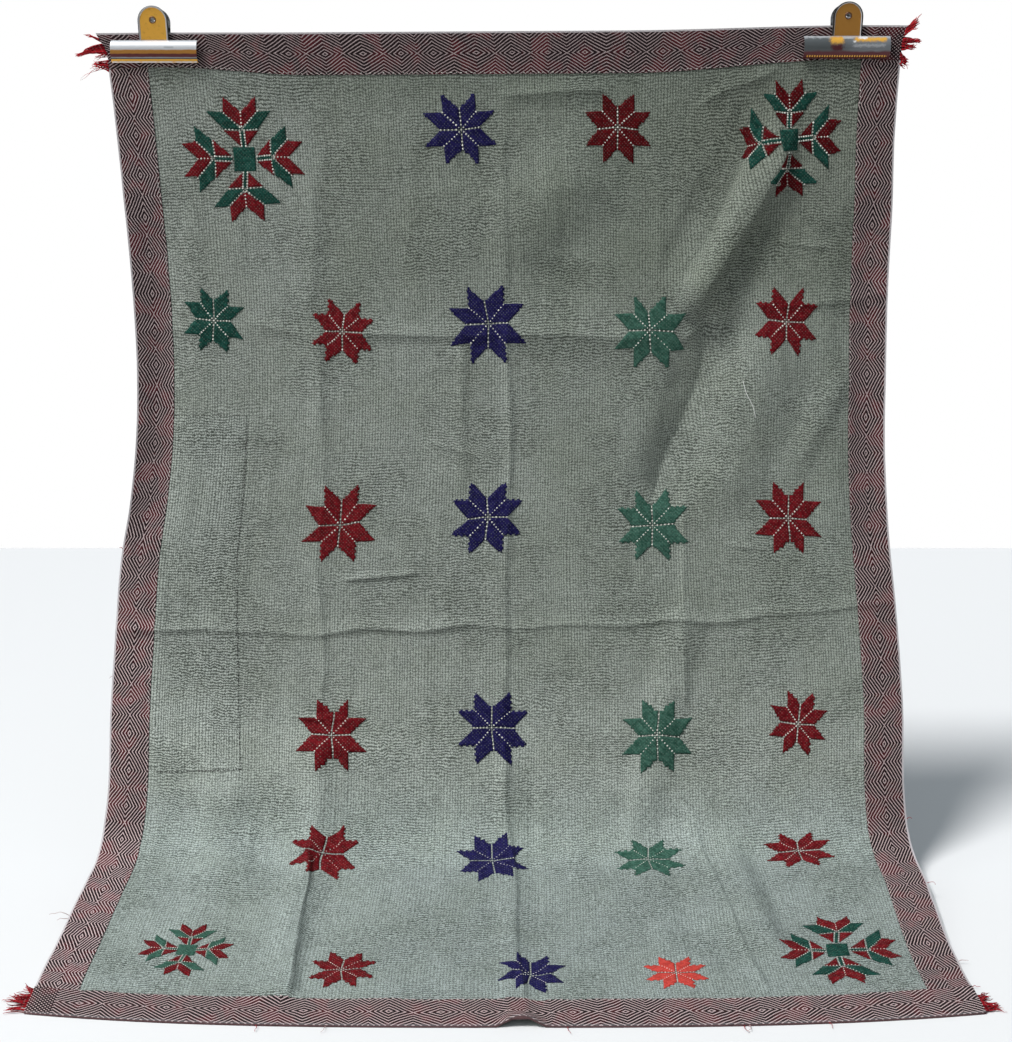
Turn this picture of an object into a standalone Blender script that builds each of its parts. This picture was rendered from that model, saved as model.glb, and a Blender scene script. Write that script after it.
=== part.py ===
"""Kantha quilt that hangs by its top corners from two bulldog clips and spreads over the floor.

Metres, +Z up, +X to the right as one faces the quilt, -Y out of the wall towards the viewer.
The origin is on the floor, below the middle of the space that the quilt takes up.
On the cloth, "across" runs from its left edge to its right edge and "down" from its top edge to
its bottom edge, both measured along the cloth.
"""

from math import cos, pi, radians, sin, sqrt, tan

import bmesh
import bpy
import numpy as np
from mathutils import Vector

# Cloth
QUILT_WIDTH = 1.40
QUILT_LENGTH = 1.905
QUILT_THICK = 0.003
TAPE_WIDTH = 0.069
TAPE_THICK = 0.001
GAP = 0.0003  # between pieces that touch

# Drape: the angle is between the cloth and the vertical
FLAT_TOP = 0.06  # the stretch that the clips hold plumb
LEAN_FOOT = 16.0  # degrees, where the bend starts
LEAN_POWER = 1.6
BEND_START = 1.336
BEND_RUN = 0.14
SETTLE_ANGLE = 77.0  # degrees, just past the bend
SETTLE_RUN = 0.37
SETTLE_FROM = 0.6  # share of the bend after which the cloth starts to settle
SAMPLE = 0.001

# Where the cloth stands
CLOTH_FROM_WALL = 0.0131
ORIGIN_FROM_WALL = 0.338
TOP_SLANT = 0.008  # the right corner hangs this much above the left one
SLANT_FADE = 1.2
FOOT_BOW = 0.036  # the bottom corners lie this much behind its middle
BOW_POWER = 3.0
BOW_FROM = 0.9
BOW_TO = 1.6

# Half widths of the draped cloth: down, left of the middle line, right of the middle line
OUTLINE = (
    (0.00, 0.692, 0.677),
    (0.03, 0.677, 0.670),
    (0.08, 0.672, 0.667),
    (0.18, 0.664, 0.664),
    (0.30, 0.657, 0.666),
    (0.44, 0.650, 0.665),
    (0.58, 0.648, 0.667),
    (0.70, 0.654, 0.669),
    (0.80, 0.666, 0.675),
    (0.90, 0.682, 0.683),
    (1.04, 0.693, 0.696),
    (1.18, 0.701, 0.704),
    (1.33, 0.703, 0.703),
    (1.42, 0.709, 0.708),
    (1.50, 0.711, 0.713),
    (1.60, 0.712, 0.708),
    (1.70, 0.708, 0.699),
    (1.80, 0.703, 0.693),
    (1.905, 0.692, 0.690),
)

# Folds, each a ridge between two points of the cloth, or a trough where the height is negative:
# across and down of its start, across and down of its end, half width, height
FOLDS = (
    (1.150, 0.16, 1.040, 0.44, 0.080, 0.026),
    (1.040, 0.44, 0.945, 0.76, 0.080, 0.018),
    (1.190, 0.30, 1.085, 0.54, 0.050, -0.010),
    (1.175, 0.46, 1.060, 0.76, 0.060, 0.011),
    (0.840, 0.18, 0.715, 0.38, 0.070, 0.011),
    (0.700, 0.40, 0.860, 0.43, 0.045, -0.005),
    (0.055, 0.30, 0.040, 0.86, 0.070, -0.009),
    (1.345, 0.30, 1.360, 0.90, 0.070, -0.009),
    (0.370, 1.24, 0.370, 1.78, 0.045, 0.022),
    (0.710, 1.22, 0.725, 2.00, 0.042, 0.016),
    (1.020, 1.00, 0.930, 1.38, 0.050, 0.007),
    (0.930, 1.38, 0.965, 1.70, 0.045, 0.011),
    (1.000, 1.40, 1.035, 1.64, 0.040, 0.011),
    (0.200, 1.30, 0.230, 1.54, 0.080, 0.010),
)
FOLD_FADE = 0.10
PROBE = 0.002  # step for the cloth's directions

# Lines of the cloth's mesh
CREASES = (0.37, 0.715, 1.02)
CREASE_HALF = 0.03
CELL_ACROSS = 0.050
CELL_HEAD = 0.018
CELL_HANG = 0.058
CELL_BEND = 0.023
CELL_FLOOR = 0.042
BEND_LINES = (1.31, 1.50)

# Frayed tape ends: start and end across the tape, strands, length, rise in degrees, droop
FRAYS = {
    "fray_top_left": (
        (0.004, 0.014, 3, 0.032, 22, 0.05),
        (0.020, 0.037, 5, 0.046, -4, 0.22),
        (0.046, 0.060, 4, 0.040, -26, 0.30),
    ),
    "fray_top_right": (
        (0.003, 0.013, 3, 0.033, 48, 0.02),
        (0.018, 0.031, 4, 0.030, 10, 0.10),
        (0.037, 0.053, 4, 0.030, -48, 0.20),
    ),
    "fray_bottom_left": (
        (0.004, 0.021, 5, 0.030, 26, 0.0),
        (0.026, 0.045, 5, 0.042, 6, 0.0),
        (0.050, 0.065, 4, 0.038, -16, 0.0),
    ),
    "fray_bottom_right": (
        (0.020, 0.036, 4, 0.028, 14, 0.0),
        (0.041, 0.065, 6, 0.040, -16, 0.0),
    ),
}
FRAY_STRIP = 0.0020
STRAND_WIDE = 0.0016
STRAND_TIP = 0.35  # width of a tip over its root
STRAND_STEPS = 5
STRAND_FAN = 5.0  # degrees between neighbours
STRAND_SHORT = 0.10  # how much shorter each is than its neighbour nearer the lock's middle
STRAND_UNEVEN = 0.08
STRAND_WAVE = 0.10  # sideways sweep of a strand on the floor over its length
STRAND_WAVE_TURN = 2.5  # radians
STRAND_SPREAD = 0.06  # spread out of the cloth's plane over its length

# Bulldog clips
CLIP_ACROSS = (-0.598, 0.579)
CLIP_NAMES = ("clip_left", "clip_right")
BAR_LONG = 0.145
BAR_TALL = 0.035
BAR_DEEP = 0.0115
BAR_BELOW = 0.012  # top of the bar below the top edge of the cloth
JAW_SHEET = 0.0014
LIP_OUT = 0.0035
LIP_DOWN = 0.0008
TANG_WIDE = 0.050
TANG_TALL = 0.055
TANG_SINK = 0.004
TANG_LEAN = 8.0  # degrees
TANG_CLEAR = 0.0025
HOLE_RADIUS = 0.004
HOLE_BELOW = 0.023
PIVOT_UP = 0.0245
SPRING_LONG = 0.040
CUT_OVER = 0.003
ARC_STEPS = 10
ARC_FROM = 79  # degrees around the bar, from its foremost line up to the tang
ARC_TO = -82
ROUND_STEPS = 20

# Finishes: colour, roughness, metallic
CLOTH = ((0.150, 0.176, 0.150), 0.9, 0.0)
TAPE = ((0.110, 0.050, 0.056), 0.9, 0.0)
YARN = ((0.330, 0.012, 0.022), 0.9, 0.0)
PLATING = ((0.560, 0.500, 0.400), 0.2, 1.0)
STEEL = ((0.420, 0.420, 0.420), 0.3, 1.0)


def clear_scene():
    for thing in list(bpy.data.objects):
        bpy.data.objects.remove(thing, do_unlink=True)


def material(name, colour, roughness, metallic):
    made = bpy.data.materials.new(name)
    made.use_nodes = True
    shader = made.node_tree.nodes["Principled BSDF"]
    shader.inputs["Base Color"].default_value = (*colour, 1.0)
    shader.inputs["Roughness"].default_value = roughness
    shader.inputs["Metallic"].default_value = metallic
    return made


def new_object(name, points, faces, finish):
    mesh = bpy.data.meshes.new(name)
    mesh.from_pydata([tuple(p) for p in points], [], faces)
    mesh.validate()
    mesh.update()
    thing = bpy.data.objects.new(name, mesh)
    bpy.context.scene.collection.objects.link(thing)
    mesh.materials.append(material(name, *finish))
    return thing


def ease(value):
    t = min(max(value, 0.0), 1.0)
    return t * t * (3.0 - 2.0 * t)


class Drape:
    """The side view of the hanging cloth: how far forward and how high it is at each down."""

    def __init__(self):
        self.down = np.arange(-0.01, QUILT_LENGTH + 0.02, SAMPLE)
        angles = np.radians([self.angle(d) for d in self.down])
        middle = (angles[1:] + angles[:-1]) / 2
        forward = np.concatenate([[0], np.cumsum(np.sin(middle) * SAMPLE)])
        drop = np.concatenate([[0], np.cumsum(np.cos(middle) * SAMPLE)])
        self.forward = forward + CLOTH_FROM_WALL
        self.height = drop[-1] - drop + QUILT_THICK / 2

    @staticmethod
    def angle(down):
        start = min(max((down - FLAT_TOP) / (BEND_START - FLAT_TOP), 0.0), 1.0)
        hang = LEAN_FOOT * start**LEAN_POWER
        settle_start = BEND_START + BEND_RUN * SETTLE_FROM
        past = min(max((down - settle_start) / SETTLE_RUN, 0.0), 1.0)
        lie = SETTLE_ANGLE + (90.0 - SETTLE_ANGLE) * past
        return hang + (lie - hang) * ease((down - BEND_START) / BEND_RUN)

    def at(self, down):
        forward = float(np.interp(down, self.down, self.forward))
        height = float(np.interp(down, self.down, self.height))
        return forward, height, radians(self.angle(down))


DRAPE = Drape()


def half_widths(down):
    """Left and right reach of the cloth at one height, on a smooth curve through OUTLINE."""
    rows = np.array(OUTLINE)
    slopes = np.gradient(rows[:, 1:], rows[:, 0], axis=0)
    at = min(max(down, rows[0, 0]), rows[-1, 0])
    i = min(int(np.searchsorted(rows[:, 0], at, side="right")) - 1, len(rows) - 2)
    step = rows[i + 1, 0] - rows[i, 0]
    t = (at - rows[i, 0]) / step
    near = (1 + 2 * t) * (1 - t) ** 2 * rows[i, 1:] + t * (1 - t) ** 2 * step * slopes[i]
    far = t * t * (3 - 2 * t) * rows[i + 1, 1:] - t * t * (1 - t) * step * slopes[i + 1]
    return near + far


def fold_height(across, down):
    total = 0.0
    for a0, d0, a1, d1, half, height in FOLDS:
        run = sqrt((a1 - a0) ** 2 + (d1 - d0) ** 2)
        along = ((across - a0) * (a1 - a0) + (down - d0) * (d1 - d0)) / run
        aside = abs((across - a0) * (d1 - d0) - (down - d0) * (a1 - a0)) / run
        if aside >= half:
            continue
        ends = ease(along / FOLD_FADE + 0.5) * ease((run - along) / FOLD_FADE + 0.5)
        total += height * ends * cos(pi / 2 * aside / half) ** 2
    return total


def on_cloth(across, down):
    """A point of the cloth's middle surface."""
    side = 2 * across / QUILT_WIDTH - 1
    bow = FOOT_BOW * abs(side) ** BOW_POWER * ease((down - BOW_FROM) / (BOW_TO - BOW_FROM))
    forward, height, angle = DRAPE.at(down - bow)
    left, right = half_widths(down)
    x = -left + (left + right) * across / QUILT_WIDTH
    height += TOP_SLANT / 2 * side * (1 - ease(down / SLANT_FADE))
    lift = fold_height(across, down)
    return Vector((
        x,
        ORIGIN_FROM_WALL - forward - lift * cos(angle),
        height + lift * sin(angle),
    ))


def cloth_frame(across, down):
    """The point, and the unit directions across, down and out of the cloth's face there."""
    point = on_cloth(across, down)
    over = (on_cloth(across + PROBE, down) - on_cloth(across - PROBE, down)).normalized()
    along = (on_cloth(across, down + PROBE) - on_cloth(across, down - PROBE)).normalized()
    return point, over, along, along.cross(over).normalized()


def lines(stops, longest):
    """The stops with enough lines between them that no cell is longer than asked."""
    made = [stops[0]]
    for start, end in zip(stops, stops[1:]):
        parts = max(1, int(np.ceil((end - start) / longest - 1e-6)))
        made += [start + (end - start) * (i + 1) / parts for i in range(parts)]
    return made


def columns():
    stops = [TAPE_WIDTH]
    for crease in CREASES:
        stops += [crease - CREASE_HALF, crease, crease + CREASE_HALF]
    stops.append(QUILT_WIDTH - TAPE_WIDTH)
    return [0.0] + lines(stops, CELL_ACROSS) + [QUILT_WIDTH]


def rows():
    foot = QUILT_LENGTH - TAPE_WIDTH
    head = lines([0.0, TAPE_WIDTH], CELL_HEAD)
    hang = lines([TAPE_WIDTH, BEND_LINES[0]], CELL_HANG)[1:]
    bend = lines(list(BEND_LINES), CELL_BEND)[1:]
    floor = lines([BEND_LINES[1], foot, QUILT_LENGTH], CELL_FLOOR)[1:]
    return head + hang + bend + floor


def sheet(name, across, down, low, high, finish):
    """A closed sheet over a grid of the cloth, from low to high above its middle surface."""
    wide, long = len(across), len(down)
    points = []
    for level in (low, high):
        for d in down:
            for a in across:
                point, _, _, out = cloth_frame(a, d)
                points.append(point + out * level)
    top = wide * long
    faces = []
    for j in range(long - 1):
        for i in range(wide - 1):
            a, b = j * wide + i, j * wide + i + 1
            c, d = a + wide, b + wide
            faces += [(top + a, top + c, top + b), (top + b, top + c, top + d)]
            faces += [(a, b, c), (b, d, c)]
    rim = [j * wide for j in range(long)]
    rim += [(long - 1) * wide + i for i in range(1, wide)]
    rim += [j * wide + wide - 1 for j in range(long - 2, -1, -1)]
    rim += [i for i in range(wide - 2, 0, -1)]
    for k, here in enumerate(rim):
        after = rim[(k + 1) % len(rim)]
        faces += [(here, after, top + after), (here, top + after, top + here)]
    return new_object(name, points, faces, finish)


def trimmed(values, start, end):
    """The lines between start and end, with both ends on them."""
    return [start] + [v for v in values if start + GAP * 2 < v < end - GAP * 2] + [end]


def make_cloth():
    across, down = columns(), rows()
    half = QUILT_THICK / 2
    low, high = half + GAP, half + GAP + TAPE_THICK
    sheet("quilt", across, down, -half, half, CLOTH)
    foot = QUILT_LENGTH - TAPE_WIDTH
    sheet("border_top", across, trimmed(down, 0.0, TAPE_WIDTH), low, high, TAPE)
    sheet("border_bottom", across, trimmed(down, foot, QUILT_LENGTH), low, high, TAPE)
    side = trimmed(down, TAPE_WIDTH + GAP, foot - GAP)
    sheet("border_left", [0.0, TAPE_WIDTH], side, low, high, TAPE)
    sheet("border_right", [QUILT_WIDTH - TAPE_WIDTH, QUILT_WIDTH], side, low, high, TAPE)


def beside_edge(across, down):
    """cloth_frame on the straight run between two rows, so that it follows the cloth's facets."""
    stops = rows()
    i = min(max(int(np.searchsorted(stops, down, side="right")) - 1, 0), len(stops) - 2)
    share = (down - stops[i]) / (stops[i + 1] - stops[i])
    near, far = cloth_frame(across, stops[i]), cloth_frame(across, stops[i + 1])
    return tuple(a.lerp(b, share) for a, b in zip(near, far))


def strand_roots(locks):
    """For each strand: middle of its root down the edge, length, rise, droop, place in its lock."""
    roots = []
    for start, end, count, length, rise, droop in locks:
        for i in range(count):
            place = i - (count - 1) / 2
            share = 1.0 - STRAND_SHORT * abs(place) - STRAND_UNEVEN * (i % 2)
            middle = start + (end - start) * (i + 0.5) / count
            roots.append((middle, length * share, rise - STRAND_FAN * place, droop, place))
    return roots


def make_fray(name, locks):
    """A narrow strip beside the cloth's edge, with a strand drawn out of every other cell."""
    right = "right" in name
    floor = "bottom" in name
    edge = QUILT_WIDTH + GAP if right else -GAP
    outer = edge + FRAY_STRIP if right else edge - FRAY_STRIP
    base = QUILT_LENGTH - TAPE_WIDTH if floor else 0.0
    half = QUILT_THICK / 2
    low, high = -half, -half + STRAND_WIDE if floor else half
    roots = strand_roots(locks)
    cuts = [roots[0][0] - STRAND_WIDE]
    for root in roots:
        cuts += [root[0] - STRAND_WIDE / 2, root[0] + STRAND_WIDE / 2]
    cuts.append(roots[-1][0] + STRAND_WIDE)
    points, faces = [], []

    def quad(a, b, c, d):
        faces.append((a, b, c, d) if right else (d, c, b, a))

    for cut in cuts:
        for across in (edge, outer):
            point, _, _, out = beside_edge(across, base + cut)
            points += [point + out * low, point + out * high]
    last = len(cuts) - 1
    quad(0, 1, 3, 2)
    quad(4 * last + 2, 4 * last + 3, 4 * last + 1, 4 * last)
    for i in range(last):
        a, b = 4 * i, 4 * i + 4
        quad(a, b, b + 1, a + 1)
        quad(a + 1, b + 1, b + 3, a + 3)
        quad(a + 2, b + 2, b, a)
        if i % 2 == 0:
            quad(a + 3, b + 3, b + 2, a + 2)
            continue
        grow_strand(points, quad, (a + 3, b + 3, b + 2, a + 2), roots[i // 2], outer, base, floor)
    return new_object(name, points, faces, YARN)


def grow_strand(points, quad, ring, root, outer, base, floor):
    middle, length, rise, droop, place = root
    _, over, along, out = beside_edge(outer, base + middle)
    away = over if outer > 0 else -over
    heading = away * cos(radians(rise)) - along * sin(radians(rise))
    corners = [points[i].copy() for i in ring]
    centre = sum(corners, Vector()) / 4
    for step in range(1, STRAND_STEPS + 1):
        t = step / STRAND_STEPS
        size = 1.0 - (1.0 - STRAND_TIP) * t
        shift = heading * length * t + Vector((0, 0, -droop * length * t * t))
        if floor:
            shift += along * length * STRAND_WAVE * sin(STRAND_WAVE_TURN * t + place)
            shift.z = 0.0
            pivot = Vector((centre.x, centre.y, 0.0))
        else:
            shift += out * length * STRAND_SPREAD * place * t
            pivot = centre
        fresh = []
        for corner in corners:
            points.append(pivot + (corner - pivot) * size + shift)
            fresh.append(len(points) - 1)
        for k in range(4):
            after = (k + 1) % 4
            quad(ring[k], ring[after], fresh[after], fresh[k])
        ring = fresh
    quad(*ring)


def make_frays():
    for name, locks in FRAYS.items():
        make_fray(name, locks)


def ribbon(path, thick):
    """The closed outline of a strip of sheet metal that follows a path."""
    left, right = [], []
    for i, point in enumerate(path):
        before, after = path[max(i - 1, 0)], path[min(i + 1, len(path) - 1)]
        along = (after - before).normalized()
        normal = Vector((-along.y, along.x))
        left.append(point + normal * thick / 2)
        right.append(point - normal * thick / 2)
    return left + right[::-1]


def jaw_section():
    """The bar's outline: distance from the grip's middle plane, and height below the bar's top."""
    touch = (QUILT_THICK + GAP + TAPE_THICK) / 2 + GAP + JAW_SHEET / 2
    middle = -BAR_TALL / 2
    path = []
    for i in range(ARC_STEPS + 1):
        turn = radians(ARC_FROM + (ARC_TO - ARC_FROM) * i / ARC_STEPS)
        path.append(Vector((touch + BAR_DEEP * cos(turn), middle + BAR_TALL / 2 * sin(turn))))
    path[-1].x = touch
    path.append(Vector((touch + LIP_OUT, -BAR_TALL - LIP_DOWN)))
    return ribbon(path, JAW_SHEET)


def extruded(name, outline, place, start, end, finish=PLATING):
    """A prism: place(point, s) sets the outline's points at s = start and s = end."""
    count = len(outline)
    points = [place(p, start) for p in outline] + [place(p, end) for p in outline]
    faces = [tuple(range(count))[::-1], tuple(range(count, 2 * count))]
    faces += [(i, (i + 1) % count, count + (i + 1) % count, count + i) for i in range(count)]
    thing = new_object(name, points, faces, finish)
    tidy = bmesh.new()
    tidy.from_mesh(thing.data)
    bmesh.ops.recalc_face_normals(tidy, faces=tidy.faces)
    tidy.to_mesh(thing.data)
    tidy.free()
    return thing


def tang_outline():
    half = TANG_WIDE / 2
    outline = [Vector((-half, -TANG_SINK)), Vector((half, -TANG_SINK))]
    for i in range(ARC_STEPS + 1):
        turn = pi * i / ARC_STEPS
        outline.append(Vector((half * cos(turn), TANG_TALL - half + half * sin(turn))))
    return outline


def combine(thing, other, operation):
    """Joins another object to this one, or cuts it away, and keeps the other out of the model."""
    step = thing.modifiers.new(other.name, "BOOLEAN")
    step.operation = operation
    step.solver = "EXACT"
    step.object = other
    other.hide_render = True
    other.display_type = "WIRE"


def tang_offset():
    """Distance of a tang's inner face from the grip's middle plane at the bar's top."""
    return (QUILT_THICK + GAP + TAPE_THICK) / 2 + TANG_CLEAR


def make_jaw(name, top, facing):
    """One jaw: a half-round bar with a tang. facing is 1 for the front jaw, -1 for the back."""
    def bar_place(point, s):
        return top + Vector((s, -facing * point.x, point.y))

    bar = extruded(name, jaw_section(), bar_place, -BAR_LONG / 2, BAR_LONG / 2)
    lean = radians(TANG_LEAN)

    def tang_place(point, s):
        out = tang_offset() + point.y * sin(lean) + s * cos(lean)
        return top + Vector((point.x, -facing * out, point.y * cos(lean) - s * sin(lean)))

    tang = extruded(name + "_tang", tang_outline(), tang_place, 0.0, JAW_SHEET)
    centre = Vector((0.0, TANG_TALL - HOLE_BELOW))
    hole = [
        centre + Vector((cos(2 * pi * i / ROUND_STEPS), sin(2 * pi * i / ROUND_STEPS))) * HOLE_RADIUS
        for i in range(ROUND_STEPS)
    ]
    cutter = extruded(name + "_hole", hole, tang_place, -CUT_OVER, JAW_SHEET + CUT_OVER)
    combine(tang, cutter, "DIFFERENCE")
    combine(bar, tang, "UNION")


def make_spring(name, top):
    lean = radians(TANG_LEAN)
    radius = (tang_offset() + PIVOT_UP * tan(lean)) * cos(lean) - GAP
    outline = [
        Vector((cos(2 * pi * i / ROUND_STEPS), sin(2 * pi * i / ROUND_STEPS))) * radius
        for i in range(ROUND_STEPS)
    ]

    def place(point, s):
        return top + Vector((s, point.x, PIVOT_UP + point.y))

    extruded(name, outline, place, -SPRING_LONG / 2, SPRING_LONG / 2, STEEL)


def make_clips():
    grip = (GAP + TAPE_THICK) / 2  # the gripped layers' middle plane, ahead of the cloth's own
    for name, x in zip(CLIP_NAMES, CLIP_ACROSS):
        edge = on_cloth(QUILT_WIDTH / 2 + x, 0.0)
        top = Vector((x, ORIGIN_FROM_WALL - CLOTH_FROM_WALL - grip, edge.z - BAR_BELOW))
        make_jaw(name + "_front", top, 1)
        make_jaw(name + "_back", top, -1)
        make_spring(name + "_spring", top)


def main():
    clear_scene()
    make_cloth()
    make_frays()
    make_clips()


main()
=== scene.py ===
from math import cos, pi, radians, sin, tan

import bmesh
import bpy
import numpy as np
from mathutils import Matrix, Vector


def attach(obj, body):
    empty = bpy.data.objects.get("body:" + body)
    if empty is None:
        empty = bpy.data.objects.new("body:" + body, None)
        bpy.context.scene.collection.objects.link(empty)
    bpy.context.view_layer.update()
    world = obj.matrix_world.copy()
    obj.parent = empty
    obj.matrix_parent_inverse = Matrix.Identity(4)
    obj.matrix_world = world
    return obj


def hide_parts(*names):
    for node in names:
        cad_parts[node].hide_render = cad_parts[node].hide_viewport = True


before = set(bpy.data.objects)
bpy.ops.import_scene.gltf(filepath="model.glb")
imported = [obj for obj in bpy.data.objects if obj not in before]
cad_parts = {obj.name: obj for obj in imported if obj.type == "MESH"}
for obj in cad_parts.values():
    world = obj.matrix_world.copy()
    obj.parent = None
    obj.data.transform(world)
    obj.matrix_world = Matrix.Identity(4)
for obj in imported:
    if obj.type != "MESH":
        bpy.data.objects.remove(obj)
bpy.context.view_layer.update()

# Looks of the kantha quilt: its stitched cloth, woven tape border, counted-thread embroidery,
# patch, frayed corners and loose threads, and the two bulldog clips that hold it.
# Metres. On the cloth, "across" runs from its left edge and "down" from its top edge, both
# measured along the cloth, and "lift" is the distance out of its middle surface.

# ---------------------------------------------------------------- sizes shared with the solids
QUILT_WIDTH = 1.40
QUILT_LENGTH = 1.905
QUILT_THICK = 0.003
TAPE_WIDTH = 0.069
TAPE_THICK = 0.001
GAP = 0.0003

FLAT_TOP = 0.06
LEAN_FOOT = 16.0
LEAN_POWER = 1.6
BEND_START = 1.336
BEND_RUN = 0.14
SETTLE_ANGLE = 77.0
SETTLE_RUN = 0.37
SETTLE_FROM = 0.6
SAMPLE = 0.001

CLOTH_FROM_WALL = 0.0131
ORIGIN_FROM_WALL = 0.338
TOP_SLANT = 0.008
SLANT_FADE = 1.2
FOOT_BOW = 0.036
BOW_POWER = 3.0
BOW_FROM = 0.9
BOW_TO = 1.6

# Half widths of the draped cloth: down, left of the middle line, right of the middle line
OUTLINE = (
    (0.00, 0.692, 0.677),
    (0.03, 0.677, 0.670),
    (0.08, 0.672, 0.667),
    (0.18, 0.664, 0.664),
    (0.30, 0.657, 0.666),
    (0.44, 0.650, 0.665),
    (0.58, 0.648, 0.667),
    (0.70, 0.654, 0.669),
    (0.80, 0.666, 0.675),
    (0.90, 0.682, 0.683),
    (1.04, 0.693, 0.696),
    (1.18, 0.701, 0.704),
    (1.33, 0.703, 0.703),
    (1.42, 0.709, 0.708),
    (1.50, 0.711, 0.713),
    (1.60, 0.712, 0.708),
    (1.70, 0.708, 0.699),
    (1.80, 0.703, 0.693),
    (1.905, 0.692, 0.690),
)

# Folds of the solids: across and down of the start and of the end, half width, height
FOLDS = (
    (1.150, 0.16, 1.040, 0.44, 0.080, 0.026),
    (1.040, 0.44, 0.945, 0.76, 0.080, 0.018),
    (1.190, 0.30, 1.085, 0.54, 0.050, -0.010),
    (1.175, 0.46, 1.060, 0.76, 0.060, 0.011),
    (0.840, 0.18, 0.715, 0.38, 0.070, 0.011),
    (0.700, 0.40, 0.860, 0.43, 0.045, -0.005),
    (0.055, 0.30, 0.040, 0.86, 0.070, -0.009),
    (1.345, 0.30, 1.360, 0.90, 0.070, -0.009),
    (0.370, 1.24, 0.370, 1.78, 0.045, 0.022),
    (0.710, 1.22, 0.725, 2.00, 0.042, 0.016),
    (1.020, 1.00, 0.930, 1.38, 0.050, 0.007),
    (0.930, 1.38, 0.965, 1.70, 0.045, 0.011),
    (1.000, 1.40, 1.035, 1.64, 0.040, 0.011),
    (0.200, 1.30, 0.230, 1.54, 0.080, 0.010),
)
FOLD_FADE = 0.10
PROBE = 0.002

CLIP_ACROSS = (-0.598, 0.579)
BAR_LONG = 0.145
BAR_TALL = 0.035
BAR_DEEP = 0.0115
BAR_BELOW = 0.012
JAW_SHEET = 0.0014
LIP_OUT = 0.0035
LIP_DOWN = 0.0008
TANG_WIDE = 0.050
TANG_TALL = 0.055
TANG_SINK = 0.004
TANG_LEAN = 8.0
TANG_CLEAR = 0.0025
HOLE_RADIUS = 0.004
HOLE_BELOW = 0.023
PIVOT_UP = 0.0245
SPRING_LONG = 0.040
ARC_FROM = 79.0
ARC_TO = -82.0

# ---------------------------------------------------------------- relief of the scene's own
# Pressed creases and wrinkles, sharp along their line: across and down of the start and of the
# end, half width on the left or below, half width on the right or above, height
CREASES = (
    (0.350, 0.236, 0.334, 0.458, 0.060, 0.040, 0.0034),
    (0.338, 0.500, 0.352, 0.800, 0.060, 0.030, 0.0050),
    (0.352, 0.800, 0.374, 1.150, 0.030, 0.012, 0.0028),
    (0.700, 0.160, 0.694, 0.440, 0.030, 0.014, 0.0024),
    (0.692, 0.490, 0.696, 0.780, 0.020, 0.014, 0.0050),
    (0.606, 0.528, 0.616, 0.776, 0.070, 0.020, 0.0034),
    (0.698, 0.800, 0.694, 1.190, 0.050, 0.014, 0.0044),
    (0.698, 1.215, 0.704, 1.380, 0.045, 0.009, 0.0060),
    (0.704, 1.380, 0.734, 1.820, 0.050, 0.010, 0.0040),
    (1.028, 0.800, 1.014, 1.160, 0.016, 0.018, 0.0036),
    (0.382, 1.225, 0.368, 1.435, 0.140, 0.240, 0.0170),
    (1.080, 0.470, 1.055, 0.610, 0.100, 0.130, -0.0230),
    (1.055, 0.610, 0.974, 0.800, 0.105, 0.130, -0.0240),
    (0.368, 1.435, 0.380, 1.830, 0.120, 0.022, 0.0130),
    (1.030, 1.365, 1.088, 1.800, 0.040, 0.012, 0.0044),
    (0.010, 0.498, 0.200, 0.496, 0.030, 0.030, 0.0020),
    (0.230, 0.490, 0.320, 0.510, 0.016, 0.030, 0.0040),
    (0.398, 0.506, 0.670, 0.508, 0.020, 0.034, 0.0050),
    (0.690, 0.508, 0.960, 0.516, 0.060, 0.050, 0.0090),
    (1.022, 0.518, 1.132, 0.458, 0.026, 0.030, 0.0044),
    (1.200, 0.462, 1.390, 0.436, 0.016, 0.030, 0.0034),
    (0.014, 1.030, 0.180, 1.030, 0.014, 0.026, 0.0056),
    (0.180, 1.036, 0.370, 1.034, 0.012, 0.026, 0.0034),
    (0.370, 1.032, 0.640, 1.024, 0.014, 0.030, 0.0056),
    (0.640, 1.022, 0.960, 1.020, 0.012, 0.022, 0.0034),
    (0.960, 1.018, 1.150, 1.006, 0.016, 0.024, 0.0050),
    (1.150, 1.004, 1.390, 0.988, 0.012, 0.030, 0.0030),
    (0.069, 1.437, 0.660, 1.437, 0.026, 0.026, 0.0024),
    (0.408, 0.942, 0.540, 0.930, 0.008, 0.016, 0.0044),
    (0.692, 0.100, 0.870, 0.092, 0.036, 0.030, 0.0062),
    (1.050, 0.128, 1.176, 0.078, 0.020, 0.020, 0.0040),
    (1.174, 0.350, 1.290, 0.360, 0.010, 0.014, 0.0028),
    (0.550, 0.696, 0.644, 0.722, 0.010, 0.014, 0.0028),
    (1.110, 0.882, 1.160, 0.888, 0.010, 0.012, 0.0030),
    (0.330, 1.187, 0.380, 1.191, 0.010, 0.012, 0.0030),
    (0.330, 1.437, 0.395, 1.443, 0.008, 0.014, 0.0036),
)
CREASE_FADE = 0.05

# Where the clips draw the cloth up: across of the middle, reach to each side, and how far the
# top edge and the tape's lower edge rise
DRAWN_UP = (
    (0.090, 0.280, 0.001, 0.014),
    (1.310, 0.400, 0.006, 0.020),
)
DRAWN_FADE = 0.14

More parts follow.
